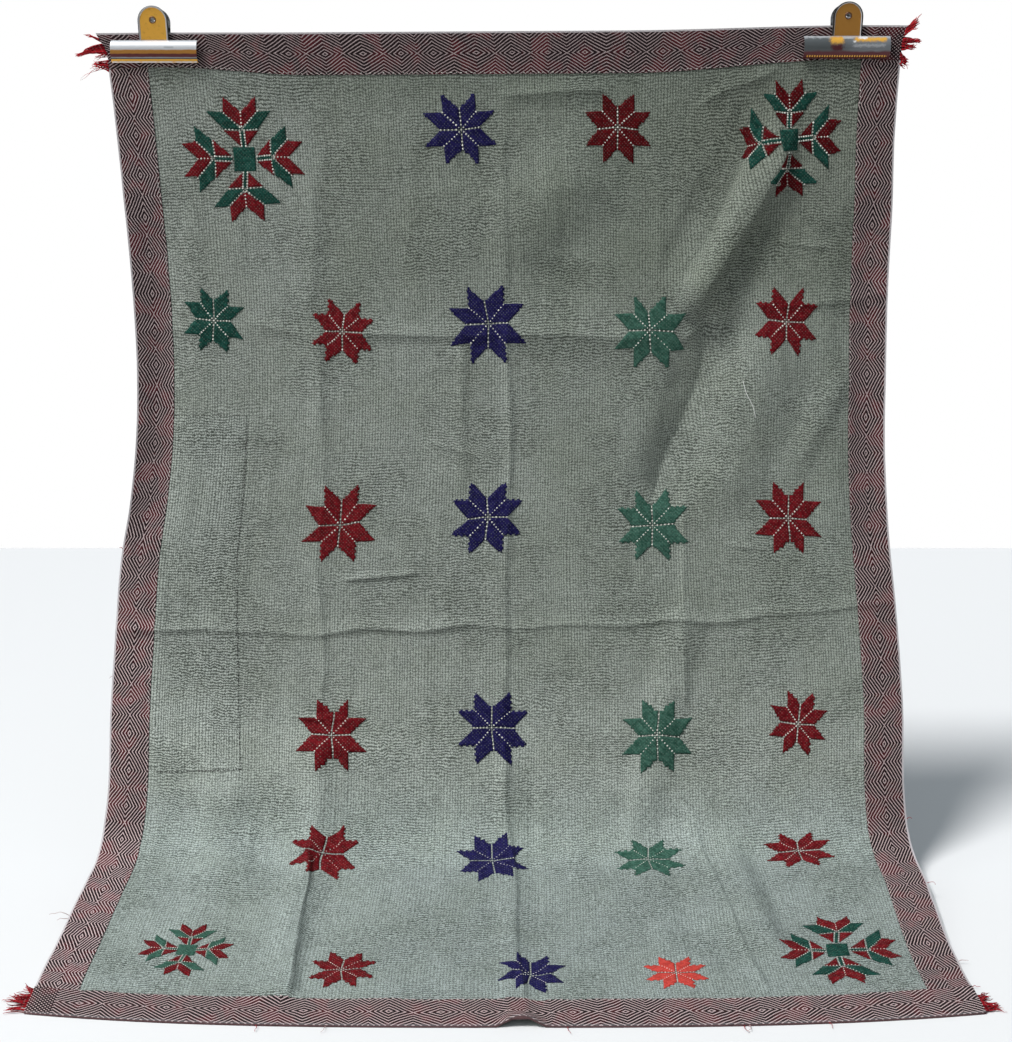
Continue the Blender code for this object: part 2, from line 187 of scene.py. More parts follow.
# Broad soft folds and troughs on top of the solids' own, in the same columns as CREASES
SWELLS = (
    (1.150, 0.160, 1.040, 0.440, 0.080, 0.080, -0.0250),
    (1.204, 0.185, 1.042, 0.458, 0.054, 0.030, 0.0265),
    (1.040, 0.440, 0.945, 0.760, 0.080, 0.080, -0.0170),
    (1.190, 0.300, 1.085, 0.540, 0.050, 0.050, 0.0080),
    (1.140, 0.130, 0.990, 0.400, 0.036, 0.050, -0.0060),
    (1.175, 0.460, 1.060, 0.760, 0.060, 0.060, -0.0100),
    (1.180, 0.520, 1.090, 0.800, 0.085, 0.095, 0.0130),
    (1.318, 0.584, 1.232, 0.742, 0.040, 0.034, 0.0055),
    (0.840, 0.180, 0.715, 0.380, 0.070, 0.070, -0.0100),
    (0.860, 0.215, 0.690, 0.335, 0.110, 0.110, 0.0125),
    (0.370, 1.240, 0.370, 1.780, 0.045, 0.045, -0.0200),
    (0.712, 1.200, 0.726, 1.905, 0.046, 0.046, -0.0130),
    (0.930, 1.380, 0.965, 1.700, 0.045, 0.045, -0.0080),
    (1.000, 1.400, 1.035, 1.640, 0.040, 0.040, -0.0060),
    (1.080, 1.400, 1.120, 1.700, 0.080, 0.040, 0.0110),
)
SWELL_FADE = 0.10

# Quilting: rows of running stitch run down the cloth, and the cloth puffs between the stitches
ROW_NARROW = 0.0045
ROW_WIDE = 0.0082
PUFF_PITCH = 0.0050
PUFF_HEIGHT = 0.00065
FINE_DOWN = 0.00225
TAPE_CELLS = 5
FADE_IN = 0.006
PANELS = 4
PUCKER_HEIGHT = 0.0016

# Camera, at the height and distance of the viewer
CAMERA_FROM_WALL = 2.45
CAMERA_HEIGHT = 1.06
CAMERA_DOWN = 10.59
LENS = 47.60
SENSOR_WIDE = 36.0


# ---------------------------------------------------------------- the cloth's surface
def ease(value):
    t = np.clip(value, 0.0, 1.0)
    return t * t * (3.0 - 2.0 * t)


class Drape:
    """The side view of the hanging cloth: how far forward and how high it is at each down."""

    def __init__(self):
        self.down = np.arange(-0.01, QUILT_LENGTH + 0.02, SAMPLE)
        angles = self.angle(self.down)
        middle = (angles[1:] + angles[:-1]) / 2
        forward = np.concatenate([[0], np.cumsum(np.sin(middle) * SAMPLE)])
        drop = np.concatenate([[0], np.cumsum(np.cos(middle) * SAMPLE)])
        self.forward = forward + CLOTH_FROM_WALL
        self.height = drop[-1] - drop + QUILT_THICK / 2

    @staticmethod
    def angle(down):
        start = np.clip((down - FLAT_TOP) / (BEND_START - FLAT_TOP), 0.0, 1.0)
        hang = LEAN_FOOT * start**LEAN_POWER
        settle_start = BEND_START + BEND_RUN * SETTLE_FROM
        past = np.clip((down - settle_start) / SETTLE_RUN, 0.0, 1.0)
        lie = SETTLE_ANGLE + (90.0 - SETTLE_ANGLE) * past
        return np.radians(hang + (lie - hang) * ease((down - BEND_START) / BEND_RUN))

    def at(self, down):
        forward = np.interp(down, self.down, self.forward)
        height = np.interp(down, self.down, self.height)
        return forward, height, self.angle(down)


DRAPE = Drape()


def half_widths(down):
    """Left and right reach of the cloth at each down, on a smooth curve through OUTLINE."""
    table = np.array(OUTLINE)
    slopes = np.gradient(table[:, 1:], table[:, 0], axis=0)
    at = np.clip(down, table[0, 0], table[-1, 0])
    i = np.clip(np.searchsorted(table[:, 0], at, side="right") - 1, 0, len(table) - 2)
    step = (table[i + 1, 0] - table[i, 0])[..., None]
    t = (at - table[i, 0])[..., None] / step
    near = (1 + 2 * t) * (1 - t) ** 2 * table[i, 1:] + t * (1 - t) ** 2 * step * slopes[i]
    far = t * t * (3 - 2 * t) * table[i + 1, 1:] - t * t * (1 - t) * step * slopes[i + 1]
    both = near + far
    return both[..., 0], both[..., 1]


def ridges(table, across, down, fade, profile):
    """The summed height of a table of ridges. profile(t) is 1 on a ridge's line and 0 at t = 1.

    A row has one half width, or one for each side of its line.
    """
    total = np.zeros(np.shape(across))
    for a0, d0, a1, d1, *halves, height in table:
        run = np.hypot(a1 - a0, d1 - d0)
        along = ((across - a0) * (a1 - a0) + (down - d0) * (d1 - d0)) / run
        aside = ((across - a0) * (d1 - d0) - (down - d0) * (a1 - a0)) / run
        half = np.where(aside < 0, halves[0], halves[-1])
        ends = ease(along / fade + 0.5) * ease((run - along) / fade + 0.5)
        total += height * ends * profile(np.clip(np.abs(aside) / half, 0.0, 1.0))
    return total


def round_profile(t):
    return np.cos(pi / 2 * t) ** 2


def sharp_profile(t):
    return (1.0 - t) ** 2


def on_cloth(across, down):
    """Points of the solids' middle surface."""
    across, down = np.broadcast_arrays(np.asarray(across, float), np.asarray(down, float))
    side = 2 * across / QUILT_WIDTH - 1
    bow = FOOT_BOW * np.abs(side) ** BOW_POWER * ease((down - BOW_FROM) / (BOW_TO - BOW_FROM))
    forward, height, angle = DRAPE.at(down - bow)
    left, right = half_widths(down)
    x = -left + (left + right) * across / QUILT_WIDTH
    height = height + TOP_SLANT / 2 * side * (1 - ease(down / SLANT_FADE))
    lift = ridges(FOLDS, across, down, FOLD_FADE, round_profile)
    y = ORIGIN_FROM_WALL - forward - lift * np.cos(angle)
    return np.stack([x, y, height + lift * np.sin(angle)], axis=-1)


def drawn_up(across, down):
    """How far the clips draw the cloth up."""
    rise = np.zeros(np.shape(across))
    for middle, reach, top, inner in DRAWN_UP:
        near = round_profile(np.clip(np.abs(across - middle) / reach, 0.0, 1.0))
        lift = top + (inner - top) * ease(down / TAPE_WIDTH)
        rise = rise + near * lift * (1 - ease((down - TAPE_WIDTH) / DRAWN_FADE))
    return rise


def hung(across, down):
    """Points of the middle surface, with the cloth drawn up under the clips."""
    across, down = np.broadcast_arrays(np.asarray(across, float), np.asarray(down, float))
    point = on_cloth(across, down)
    point[..., 2] += drawn_up(across, down)
    return point


def unit(vectors):
    return vectors / np.maximum(np.linalg.norm(vectors, axis=-1, keepdims=True), 1e-12)


def cloth_frame(across, down):
    """The points, and the unit directions across, down and out of the cloth's face there."""
    point = hung(across, down)
    over = unit(hung(across + PROBE, down) - hung(across - PROBE, down))
    along = unit(hung(across, down + PROBE) - hung(across, down - PROBE))
    return point, over, along, unit(np.cross(along, over))


class Noise:
    """Smooth value noise from -1 to 1, with one bump to each unit of x and y."""

    SIZE = 512

    def __init__(self, seed):
        self.table = np.random.default_rng(seed).uniform(-1, 1, (self.SIZE, self.SIZE))

    def __call__(self, x, y):
        i, j = np.floor(x).astype(int), np.floor(y).astype(int)
        u, v = ease(x - i), ease(y - j)
        i, j, n = i % self.SIZE, j % self.SIZE, self.SIZE
        near = self.table[i, j] * (1 - u) + self.table[(i + 1) % n, j] * u
        far = self.table[i, (j + 1) % n] * (1 - u) + self.table[(i + 1) % n, (j + 1) % n] * u
        return near * (1 - v) + far * v


DRIFT, JITTER, SWELL, DIP, PUCKER, SMALL = (Noise(seed) for seed in range(11, 17))


def body_lift(across, down):
    """Creases and puckers, wider than the quilting, that bend every layer of the cloth."""
    stray = 0.006 * SMALL(across / 0.09, down / 0.09)
    sharp = ridges(CREASES, across + stray, down + stray, CREASE_FADE, sharp_profile)
    broad = ridges(SWELLS, across, down, SWELL_FADE, round_profile)
    soft = PUCKER(across / 0.060, down / 0.045) + 0.6 * PUCKER(across / 0.028 + 90, down / 0.020)
    streaks = 0.5 * SMALL(across / 0.016, down / 0.110)
    hold = ease((down - 0.05) / 0.08) * ease((QUILT_LENGTH - down) / 0.03)
    return sharp + (broad + PUCKER_HEIGHT * (0.5 + 0.5 * soft + streaks)) * hold


def stitch_rows():
    """Where the rows of running stitch lie, from the left tape to the right one."""
    start, end = TAPE_WIDTH, QUILT_WIDTH - TAPE_WIDTH
    count = int((end - start) / (ROW_NARROW + ROW_WIDE) * 2)
    steps = np.random.default_rng(5).uniform(ROW_NARROW, ROW_WIDE, count)
    return start + (end - start) * np.concatenate([[0], np.cumsum(steps)]) / steps.sum()


STITCH_ROWS = stitch_rows()


def stitch_place(across, down):
    """Which row of stitches a place is on, and how many puffs down that row, as real numbers."""
    row = np.interp(across, STITCH_ROWS, np.arange(len(STITCH_ROWS)))
    uneven = 0.40 + 0.25 * DIP(across / 0.15 + 70, down / 0.12)
    drift = 0.5 * DRIFT(across / 0.036, down / 0.026)
    drift = drift + 0.8 * DRIFT(across / 0.140 + 40, down / 0.120)
    return row, down / PUFF_PITCH + uneven * JITTER(row, down / 0.014) + drift


def quilting(across, down):
    """0 in the grooves and 1 on top of the puffs of the quilted field."""
    row, phase = stitch_place(across, down)
    puff = (0.5 - 0.5 * np.cos(2 * pi * phase)) ** 0.8
    beside = 2 * np.abs(row - np.floor(row) - 0.5)
    dip = 0.42 + 0.30 * DIP(across / 0.11, down / 0.13)
    return puff * (1 - dip * beside**2)


def in_field(across, down):
    """1 on the quilted field, fading to 0 at the tapes."""
    fade = ease((across - TAPE_WIDTH) / FADE_IN)
    fade = fade * ease((QUILT_WIDTH - TAPE_WIDTH - across) / FADE_IN)
    fade = fade * ease((down - TAPE_WIDTH) / FADE_IN)
    return fade * ease((QUILT_LENGTH - TAPE_WIDTH - down) / FADE_IN)


def puff_swell(across, down):
    return 0.75 + 0.35 * SWELL(across / 0.09, down / 0.08)


def raised(across, down, lift):
    """Points at a lift above the middle surface, with the cloth's creases and puckers."""
    across, down = np.broadcast_arrays(np.asarray(across, float), np.asarray(down, float))
    point, _, _, out = cloth_frame(across, down)
    return point + out * (lift + body_lift(across, down))[..., None]


# ---------------------------------------------------------------- meshes
def grid_normals(points, flip):
    """Unit normals of a grid of points, from its neighbours on each side."""
    down = np.gradient(points, axis=0)
    over = np.gradient(points, axis=1)
    return unit(np.cross(down, over)) * (-1 if flip else 1)


def inside(polygon, x, y):
    """Where points lie inside a polygon."""
    found = np.zeros(np.shape(x), bool)
    for (x0, y0), (x1, y1) in zip(polygon, polygon[1:] + polygon[:1]):
        if y0 == y1:
            continue
        crosses = (y0 > y) != (y1 > y)
        found ^= crosses & (x < (x1 - x0) * (y - y0) / (y1 - y0) + x0)
    return found


def zip_edges(first, second):
    """Triangles between two rows of (index, place) that run the same way at different steps."""
    faces, i, j = [], 0, 0
    while i < len(first) - 1 or j < len(second) - 1:
        if j == len(second) - 1 or (i < len(first) - 1 and first[i + 1][1] <= second[j + 1][1]):
            faces.append((first[i][0], second[j][0], first[i + 1][0]))
            i += 1
        else:
            faces.append((first[i][0], second[j][0], second[j + 1][0]))
            j += 1
    return faces


def quads(count_down, count_over, start, flip):
    index = np.arange(count_down * count_over).reshape(count_down, count_over) + start
    a, b, c, d = index[:-1, :-1], index[1:, :-1], index[1:, 1:], index[:-1, 1:]
    order = (d, c, b, a) if flip else (a, b, c, d)
    return index, np.stack(order, axis=-1).reshape(-1, 4)


class Grid:
    """A lattice of cloth coordinates with its points, normals and named values for its finish."""

    def __init__(self, across, down, points, values):
        self.across, self.down = np.asarray(across), np.asarray(down)
        self.points, self.values = points, values
        self.normals = grid_normals(points, False)

    def columns(self, first, last):
        part = Grid.__new__(Grid)
        part.across, part.down = self.across[first:last + 1], self.down
        part.points, part.normals = self.points[:, first:last + 1], self.normals[:, first:last + 1]
        part.values = {key: value[:, first:last + 1] for key, value in self.values.items()}
        return part


def link_object(name, mesh, material):
    thing = bpy.data.objects.new(name, mesh)
    bpy.context.scene.collection.objects.link(thing)
    mesh.materials.append(material)
    return thing


def set_surface(mesh, uv, values):
    """Stores cloth coordinates in metres as a UV map, and the named values, for each point."""
    corner = np.zeros(len(mesh.loops), np.int32)
    mesh.loops.foreach_get("vertex_index", corner)
    layer = mesh.uv_layers.new(name="Cloth")
    layer.data.foreach_set("uv", uv[corner].astype(np.float32).ravel())
    for key, value in values.items():
        store = mesh.attributes.new(key, "FLOAT", "POINT")
        store.data.foreach_set("value", np.asarray(value, np.float32))
    return corner


def slab(name, front, back, material):
    """A closed sheet between a front grid and a coarser back grid of the same stretch of cloth."""
    rows, cols = front.points.shape[:2]
    back_rows, back_cols = back.points.shape[:2]
    top, top_faces = quads(rows, cols, 0, False)
    low, low_faces = quads(back_rows, back_cols, rows * cols, True)
    edges = [
        (top[:, 0], low[:, 0], front.down, back.down, False),
        (top[:, -1], low[:, -1], front.down, back.down, True),
        (top[0], low[0], front.across, back.across, True),
        (top[-1], low[-1], front.across, back.across, False),
    ]
    rim = []
    for one, other, at, other_at, turn in edges:
        made = zip_edges(list(zip(one.tolist(), at)), list(zip(other.tolist(), other_at)))
        rim += [face[::-1] for face in made] if turn else made
    points = np.concatenate([front.points.reshape(-1, 3), back.points.reshape(-1, 3)])
    mesh = bpy.data.meshes.new(name)
    faces = top_faces.tolist() + low_faces.tolist() + [tuple(face) for face in rim]
    mesh.from_pydata(points.tolist(), [], faces)
    mesh.update()
    places = [
        np.stack(np.meshgrid(face.across, face.down), axis=-1).reshape(-1, 2)
        for face in (front, back)
    ]
    values = {
        key: np.concatenate([front.values[key].ravel(), back.values[key].ravel()])
        for key in front.values
    }
    corner = set_surface(mesh, np.concatenate(places), values)
    normals = np.concatenate([front.normals.reshape(-1, 3), -back.normals.reshape(-1, 3)])[corner]
    normals[4 * (len(top_faces) + len(low_faces)):] = 0.0  # the rim keeps its faces' own normals
    mesh.shade_smooth()
    mesh.normals_split_custom_set(normals)
    return link_object(name, mesh, material)


def lines(stops, longest):
    """The stops with enough lines between them that no cell is longer than asked."""
    made = [stops[0]]
    for start, end in zip(stops, stops[1:]):
        parts = max(1, int(np.ceil((end - start) / longest - 1e-6)))
        made += [start + (end - start) * (i + 1) / parts for i in range(parts)]
    return np.array(made)


# ---------------------------------------------------------------- material helpers
class Nodes:
    """A material's node tree, with short calls to add and link nodes."""

    def __init__(self, name):
        self.material = bpy.data.materials.new(name)
        self.material.use_nodes = True
        self.tree = self.material.node_tree
        self.shader = self.tree.nodes["Principled BSDF"]

    def add(self, kind, inputs=None, **settings):
        made = self.tree.nodes.new("ShaderNode" + kind)
        for key, value in settings.items():
            setattr(made, key, value)
        for key, value in (inputs or {}).items():
            self.put(made.inputs[key], value)
        return made

    def put(self, socket, value):
        if isinstance(value, bpy.types.NodeSocket):
            self.tree.links.new(value, socket)
        elif socket.type == "RGBA" and len(value) == 3:
            socket.default_value = (*value, 1.0)
        else:
            socket.default_value = value

    def calc(self, operation, *values, clamp=False):
        made = self.add("Math", operation=operation, use_clamp=clamp)
        for socket, value in zip(made.inputs, values):
            self.put(socket, value)
        return made.outputs[0]

    def times(self, first, second):
        return self.calc("MULTIPLY", first, second)

    def plus(self, first, second):
        return self.calc("ADD", first, second)

    def minus(self, first, second, clamp=False):
        return self.calc("SUBTRACT", first, second, clamp=clamp)

    def fit(self, value, scale, shift):
        return self.calc("MULTIPLY_ADD", value, scale, shift)

    def wave(self, kind, value, pitch):
        """A SINE or COSINE of a value, one wave to each pitch."""
        return self.calc(kind, self.times(value, 2 * pi / pitch))

    def swing(self, vector, scale, detail, roughness):
        """Noise about 0, from -0.5 to 0.5."""
        return self.minus(self.noise(vector, scale, detail, roughness), 0.5)

    def smooth(self, value, low, high):
        made = self.add("MapRange", {"Value": value, "From Min": low, "From Max": high},
                        interpolation_type="SMOOTHSTEP")
        return made.outputs["Result"]

    def mix(self, factor, first, second, blend="MIX"):
        made = self.add("Mix", data_type="RGBA", blend_type=blend)
        self.put(made.inputs["Factor"], factor)
        self.put(made.inputs[6], first)
        self.put(made.inputs[7], second)
        return made.outputs[2]

    def uv(self):
        return self.add("UVMap", uv_map="Cloth").outputs["UV"]

    def split(self, vector):
        made = self.add("SeparateXYZ", {"Vector": vector})
        return made.outputs["X"], made.outputs["Y"]

    def join(self, x, y):
        return self.add("CombineXYZ", {"X": x, "Y": y}).outputs["Vector"]

    def noise(self, vector, scale, detail=2.0, roughness=0.5):
        made = self.add(
            "TexNoise",
            {"Vector": vector, "Scale": scale, "Detail": detail, "Roughness": roughness},
        )
        return made.outputs["Fac"]

    def attribute(self, name):
        return self.add("Attribute", attribute_name=name).outputs["Fac"]

    def bump(self, height, distance, strength=1.0):
        made = self.add("Bump", {"Height": height, "Distance": distance, "Strength": strength})
        self.tree.links.new(made.outputs["Normal"], self.shader.inputs["Normal"])

    def finish(self, **values):
        """Sets the shader's own sockets, named with underscores for spaces."""
        for key, value in values.items():
            self.put(self.shader.inputs[key.replace("_", " ")], value)
        return self.material


# ---------------------------------------------------------------- finishes
# Quilting colours: FIELD_DARK is painted shade in the stitched grooves, FIELD_PALE painted
# highlight on the puffs
FIELD_DARK = (0.044, 0.052, 0.042)
FIELD_PALE = (0.402, 0.438, 0.394)
PATCH_TINT = (1.04, 1.04, 1.05)
# Painted light: the cloth made brighter where it bends forward to the floor, more on the left
BEND_LIGHT_TINT = (1.30, 1.30, 1.31)
# Painted light: the part of the cloth that lies on the floor made brighter and cooler
FLOOR_LIGHT_TINT = (1.07, 1.12, 1.17)
CLOUD_TINT = (0.82, 0.83, 0.78)
EDGE_BINDING = (0.100, 0.055, 0.057)
# Painted shade: darker places of the cloth, the change of u and of v over which each begins, and
# its tint
SHADED = (
    ((0.30, 0.44), (0.52, 0.38), (0.86, 0.87, 0.84)),
    ((0.88, 1.10), (0.55, 0.25), (0.95, 0.94, 0.93)),
    ((0.66, 0.80), (1.25, 0.95), (0.93, 0.94, 0.92)),
    ((0.00, 0.05), (0.16, 0.07), (0.84, 0.85, 0.84)),
    ((0.44, 0.56), (1.40, 1.50), (0.92, 0.92, 0.93)),
)
THREAD_PITCH = 0.0011
# How far puffs and rows stray, in puffs and rows, and how many more rows the colour has
PUFF_RAGGED = 1.8
ROW_STRAY = 1.6
FLOOR_STRAY = 2.5
ROWS_FINER = 1.35
FLECK_DEPTH = 1.5


def weave_height(nodes, u, v, pitch):
    """Over-and-under threads as a height from 0 to 1."""
    product = nodes.times(nodes.wave("SINE", u, pitch), nodes.wave("SINE", v, pitch))
    return nodes.fit(product, 0.5, 0.5)


def puff_height(nodes, uv):
    """The quilting's puffs, from the same rows as the mesh but with the thread's own raggedness."""
    phase = nodes.fit(nodes.swing(uv, 330.0, 2.0, 0.6), PUFF_RAGGED, nodes.attribute("phase"))
    puff = nodes.fit(nodes.wave("COSINE", phase, 1.0), -0.5, 0.5)
    rows = nodes.times(nodes.attribute("row"), ROWS_FINER)
    on_floor = nodes.smooth(nodes.split(uv)[1], 1.20, 1.45)
    stray = nodes.fit(on_floor, FLOOR_STRAY - ROW_STRAY, ROW_STRAY)
    row = nodes.fit(nodes.swing(uv, 300.0, 2.0, 0.6), stray, rows)
    beside = nodes.fit(nodes.calc("PINGPONG", row, 0.5), -2.0, 1.0)
    zone = nodes.smooth(nodes.noise(uv, 7.0, 2.0, 0.5), 0.38, 0.62)
    hollow = nodes.times(nodes.minus(1.0, puff), nodes.fit(zone, -0.42, 1.0))
    dip = nodes.fit(zone, 0.38, 0.56)
    groove = nodes.times(dip, nodes.calc("POWER", beside, 2.2))
    puffed = nodes.minus(1.0, hollow, clamp=True)
    return nodes.times(puffed, nodes.minus(1.0, groove, clamp=True))


def cotton(name):
    """Faded sage cotton, with painted shade in the stitched grooves and painted highlight on the
    puffs.
    """
    nodes = Nodes(name)
    uv = nodes.uv()
    u, v = nodes.split(uv)
    height = puff_height(nodes, uv)
    depth = nodes.fit(nodes.swing(uv, 620.0, 2.0, 0.6), FLECK_DEPTH, height)
    on_patch = nodes.attribute("patch")
    depth = nodes.fit(nodes.times(on_patch, 0.25), nodes.minus(height, 0.5), depth)
    # painted shade in the grooves and painted highlight on the puffs, from the puffs' height
    colour = nodes.mix(nodes.smooth(depth, -0.15, 1.05), FIELD_DARK, FIELD_PALE)
    colour = nodes.mix(on_patch, colour, PATCH_TINT, "MULTIPLY")
    # painted light at the bend, stronger towards the left
    bend = nodes.times(nodes.smooth(v, 1.02, 1.30), nodes.smooth(v, 1.50, 1.34))
    bend = nodes.times(bend, nodes.fit(u, -0.35, 1.1))
    colour = nodes.mix(bend, colour, BEND_LIGHT_TINT, "MULTIPLY")
    # painted light on the part lying on the floor
    colour = nodes.mix(nodes.smooth(v, 1.25, 1.45), colour, FLOOR_LIGHT_TINT, "MULTIPLY")
    # painted shade over broad places of the cloth
    for (left, right), (low, high), tint in SHADED:
        where = nodes.times(nodes.smooth(u, left, right), nodes.smooth(v, low, high))
        colour = nodes.mix(where, colour, tint, "MULTIPLY")
    cloud = nodes.smooth(nodes.noise(uv, 9.0, 3.0, 0.6), 0.35, 0.70)
    colour = nodes.mix(nodes.times(cloud, 0.5), colour, CLOUD_TINT, "MULTIPLY")
    from_side = nodes.calc("MINIMUM", u, nodes.minus(QUILT_WIDTH, u))
    from_end = nodes.calc("MINIMUM", v, nodes.minus(QUILT_LENGTH, v))
    rim = nodes.smooth(nodes.calc("MINIMUM", from_side, from_end), 0.003, 0.001)
    colour = nodes.mix(rim, colour, EDGE_BINDING)
    threads = weave_height(nodes, u, v, THREAD_PITCH)
    nodes.bump(nodes.fit(threads, 0.25, height), 0.0008, 0.7)
    return nodes.finish(Base_Color=colour, Roughness=0.9, Specular_IOR_Level=0.2)


RING_ACROSS = 0.0055
RING_ALONG = 0.0093
DIAMOND_PITCH = 0.066
TAPE_DARK = (0.009, 0.003, 0.004)
TAPE_RED = (0.058, 0.005, 0.008)
TAPE_PALE = (0.555, 0.435, 0.430)
SELVEDGE = (0.520, 0.490, 0.500)
TAPE_THREAD = 0.0009
DOT_PITCH = 0.0070
BEAD_LONG = 0.0042
BEAD_WIDE = 0.0036
DOTTED_FADE = 0.004
# How far from the tape's outer edge the pale selvedge begins, and where it is whole
EDGE_FROM = 0.0036
EDGE_FULL = 0.0022


def tape(name, dotted, outer, bleach, foot_tint=1.0, ring_across=RING_ACROSS, selvedge=0.8):
    """Warp-faced tape with nested diamonds down its middle. U runs across it, from its middle.

    Between the two places in dotted it is woven in pale dots instead. outer is the sign of U at
    its selvedge. bleach scales its pale yarn, and foot_tint the whole of its lower end.
    selvedge is how strongly its pale outer edge shows.
    """
    nodes = Nodes(name)
    uv = nodes.uv()
    u, v = nodes.split(uv)
    wander_u = nodes.fit(nodes.swing(uv, 26.0, 2.0, 0.5), 0.004, u)
    at_v = nodes.fit(nodes.swing(nodes.join(v, 0.3), 9.0, 1.0, 0.5), 0.03, v)
    step_u = nodes.calc("SNAP", wander_u, TAPE_THREAD)
    reach = nodes.calc("DIVIDE", nodes.calc("ABSOLUTE", step_u), ring_across)
    climb = nodes.calc("PINGPONG", at_v, DIAMOND_PITCH / 2)
    ring = nodes.plus(reach, nodes.calc("DIVIDE", climb, RING_ALONG))
    beads = nodes.times(nodes.wave("SINE", v, BEAD_LONG), nodes.wave("SINE", u, BEAD_WIDE))
    pale = nodes.fit(nodes.swing(uv, 700.0, 2.0, 0.6), 1.0, nodes.wave("COSINE", ring, 1.0))
    pale = nodes.fit(beads, 0.22, pale)
    crossed = nodes.times(nodes.wave("COSINE", u, DOT_PITCH), nodes.wave("COSINE", v, DOT_PITCH))
    dots = nodes.fit(crossed, -0.8, -0.25)
    start, end = dotted
    started = nodes.smooth(v, start, start + DOTTED_FADE)
    ends = nodes.times(started, nodes.smooth(v, end, end - DOTTED_FADE))
    weave = nodes.add("Mix", {"Factor": ends}, data_type="FLOAT")
    nodes.put(weave.inputs[2], pale)
    nodes.put(weave.inputs[3], dots)
    show = nodes.smooth(weave.outputs[0], -0.40, -0.90)
    blotch = nodes.smooth(nodes.noise(uv, 22.0, 3.0, 0.6), 0.46, 0.64)
    ground = nodes.mix(blotch, TAPE_DARK, TAPE_RED)
    bleached = tuple(bleach * channel for channel in TAPE_PALE)
    colour = nodes.mix(show, ground, bleached)
    side = nodes.times(u, outer)
    edge = nodes.smooth(side, TAPE_WIDTH / 2 - EDGE_FROM, TAPE_WIDTH / 2 - EDGE_FULL)
    colour = nodes.mix(nodes.times(edge, selvedge), colour, SELVEDGE)
    colour = nodes.mix(nodes.smooth(v, 0.75, 1.05), colour, (foot_tint,) * 3, "MULTIPLY")
    height = nodes.fit(nodes.wave("SINE", u, TAPE_THREAD), 0.25, nodes.times(show, 0.7))
    nodes.bump(height, 0.0004, 0.6)
    return nodes.finish(Base_Color=colour, Roughness=0.88, Specular_IOR_Level=0.2)


# Embroidery and loose yarn: dark and lit colour of the thread
YARNS = {
    "crimson": ((0.070, 0.002, 0.004), (0.188, 0.008, 0.013)),
    "garnet": ((0.044, 0.001, 0.002), (0.120, 0.003, 0.006)),
    "indigo": ((0.005, 0.004, 0.036), (0.018, 0.015, 0.088)),
    "bottle": ((0.004, 0.028, 0.020), (0.015, 0.082, 0.063)),
    "leaf": ((0.018, 0.060, 0.042), (0.060, 0.145, 0.108)),
    "orange": ((0.380, 0.036, 0.028), (0.620, 0.066, 0.052)),
    "pale": ((0.520, 0.520, 0.470), (0.860, 0.850, 0.780)),
    "fray": ((0.110, 0.004, 0.009), (0.560, 0.020, 0.030)),
    # fray_shaded is painted shade: a darker copy of fray for the yarn lying on the brighter-lit
    # floor
    "fray_shaded": ((0.085, 0.003, 0.007), (0.420, 0.015, 0.024)),
    "rose": ((0.330, 0.190, 0.190), (0.560, 0.400, 0.400)),
    "lint": ((0.650, 0.650, 0.630), (0.850, 0.850, 0.830)),
    "dark": ((0.030, 0.030, 0.028), (0.080, 0.070, 0.065)),
}
WORN_TIP = (0.620, 0.420, 0.410)
SHOWING = (0.300, 0.330, 0.290)
SATIN_PITCH = 0.0012
CROSS_PITCH = 0.0062


def yarn_finish(name):
    """Twisted cotton yarn, its strands laid side by side."""
    nodes = Nodes("yarn_" + name)
    dark, lit = YARNS[name]
    uv = nodes.uv()
    u, v = nodes.split(uv)
    shade = nodes.attribute("relief")
    mixed = nodes.fit(nodes.swing(uv, 900.0, 2.0, 0.6), 1.2, shade)
    colour = nodes.mix(nodes.smooth(mixed, 0.1, 1.1), dark, lit)
    colour = nodes.mix(nodes.smooth(shade, 1.2, 2.0), colour, WORN_TIP)
    between = nodes.smooth(weave_height(nodes, u, v, CROSS_PITCH), 0.66, 0.90)
    speck = nodes.times(between, nodes.smooth(nodes.noise(uv, 160.0, 1.0), 0.36, 0.60))
    colour = nodes.mix(nodes.times(speck, 0.22), colour, SHOWING)
    nodes.bump(weave_height(nodes, u, v, SATIN_PITCH), 0.0003, 0.6)
    return nodes.finish(Base_Color=colour, Roughness=0.8, Specular_IOR_Level=0.07)


# Plating: pale worn nickel over brass, with painted reflections, painted highlights and painted
# shade on the bars. UV is x from the clip's middle and height from its top
NICKEL = (0.520, 0.530, 0.545)
NICKEL_DARK = (0.210, 0.225, 0.240)
STEEL_BLUE = (0.108, 0.120, 0.124)
STEEL_GREY = (0.450, 0.450, 0.460)
STEEL_BROWN = (0.200, 0.180, 0.160)
BRASS = (0.820, 0.430, 0.060)
BRASS_BROWN = (0.420, 0.190, 0.035)
MAROON = (0.100, 0.022, 0.026)
# Painted shade: the dark line round the tangs' rims and above the left lip, and on the back jaws
PAINTED_SHADE = (0.030, 0.028, 0.026)
EYELET_DARK = (0.075, 0.035, 0.030)
EYELET_WIDE = 0.0016
# Painted highlight
GLINT = (0.900, 0.900, 0.900)
BRASS_DULL = (0.460, 0.215, 0.040)
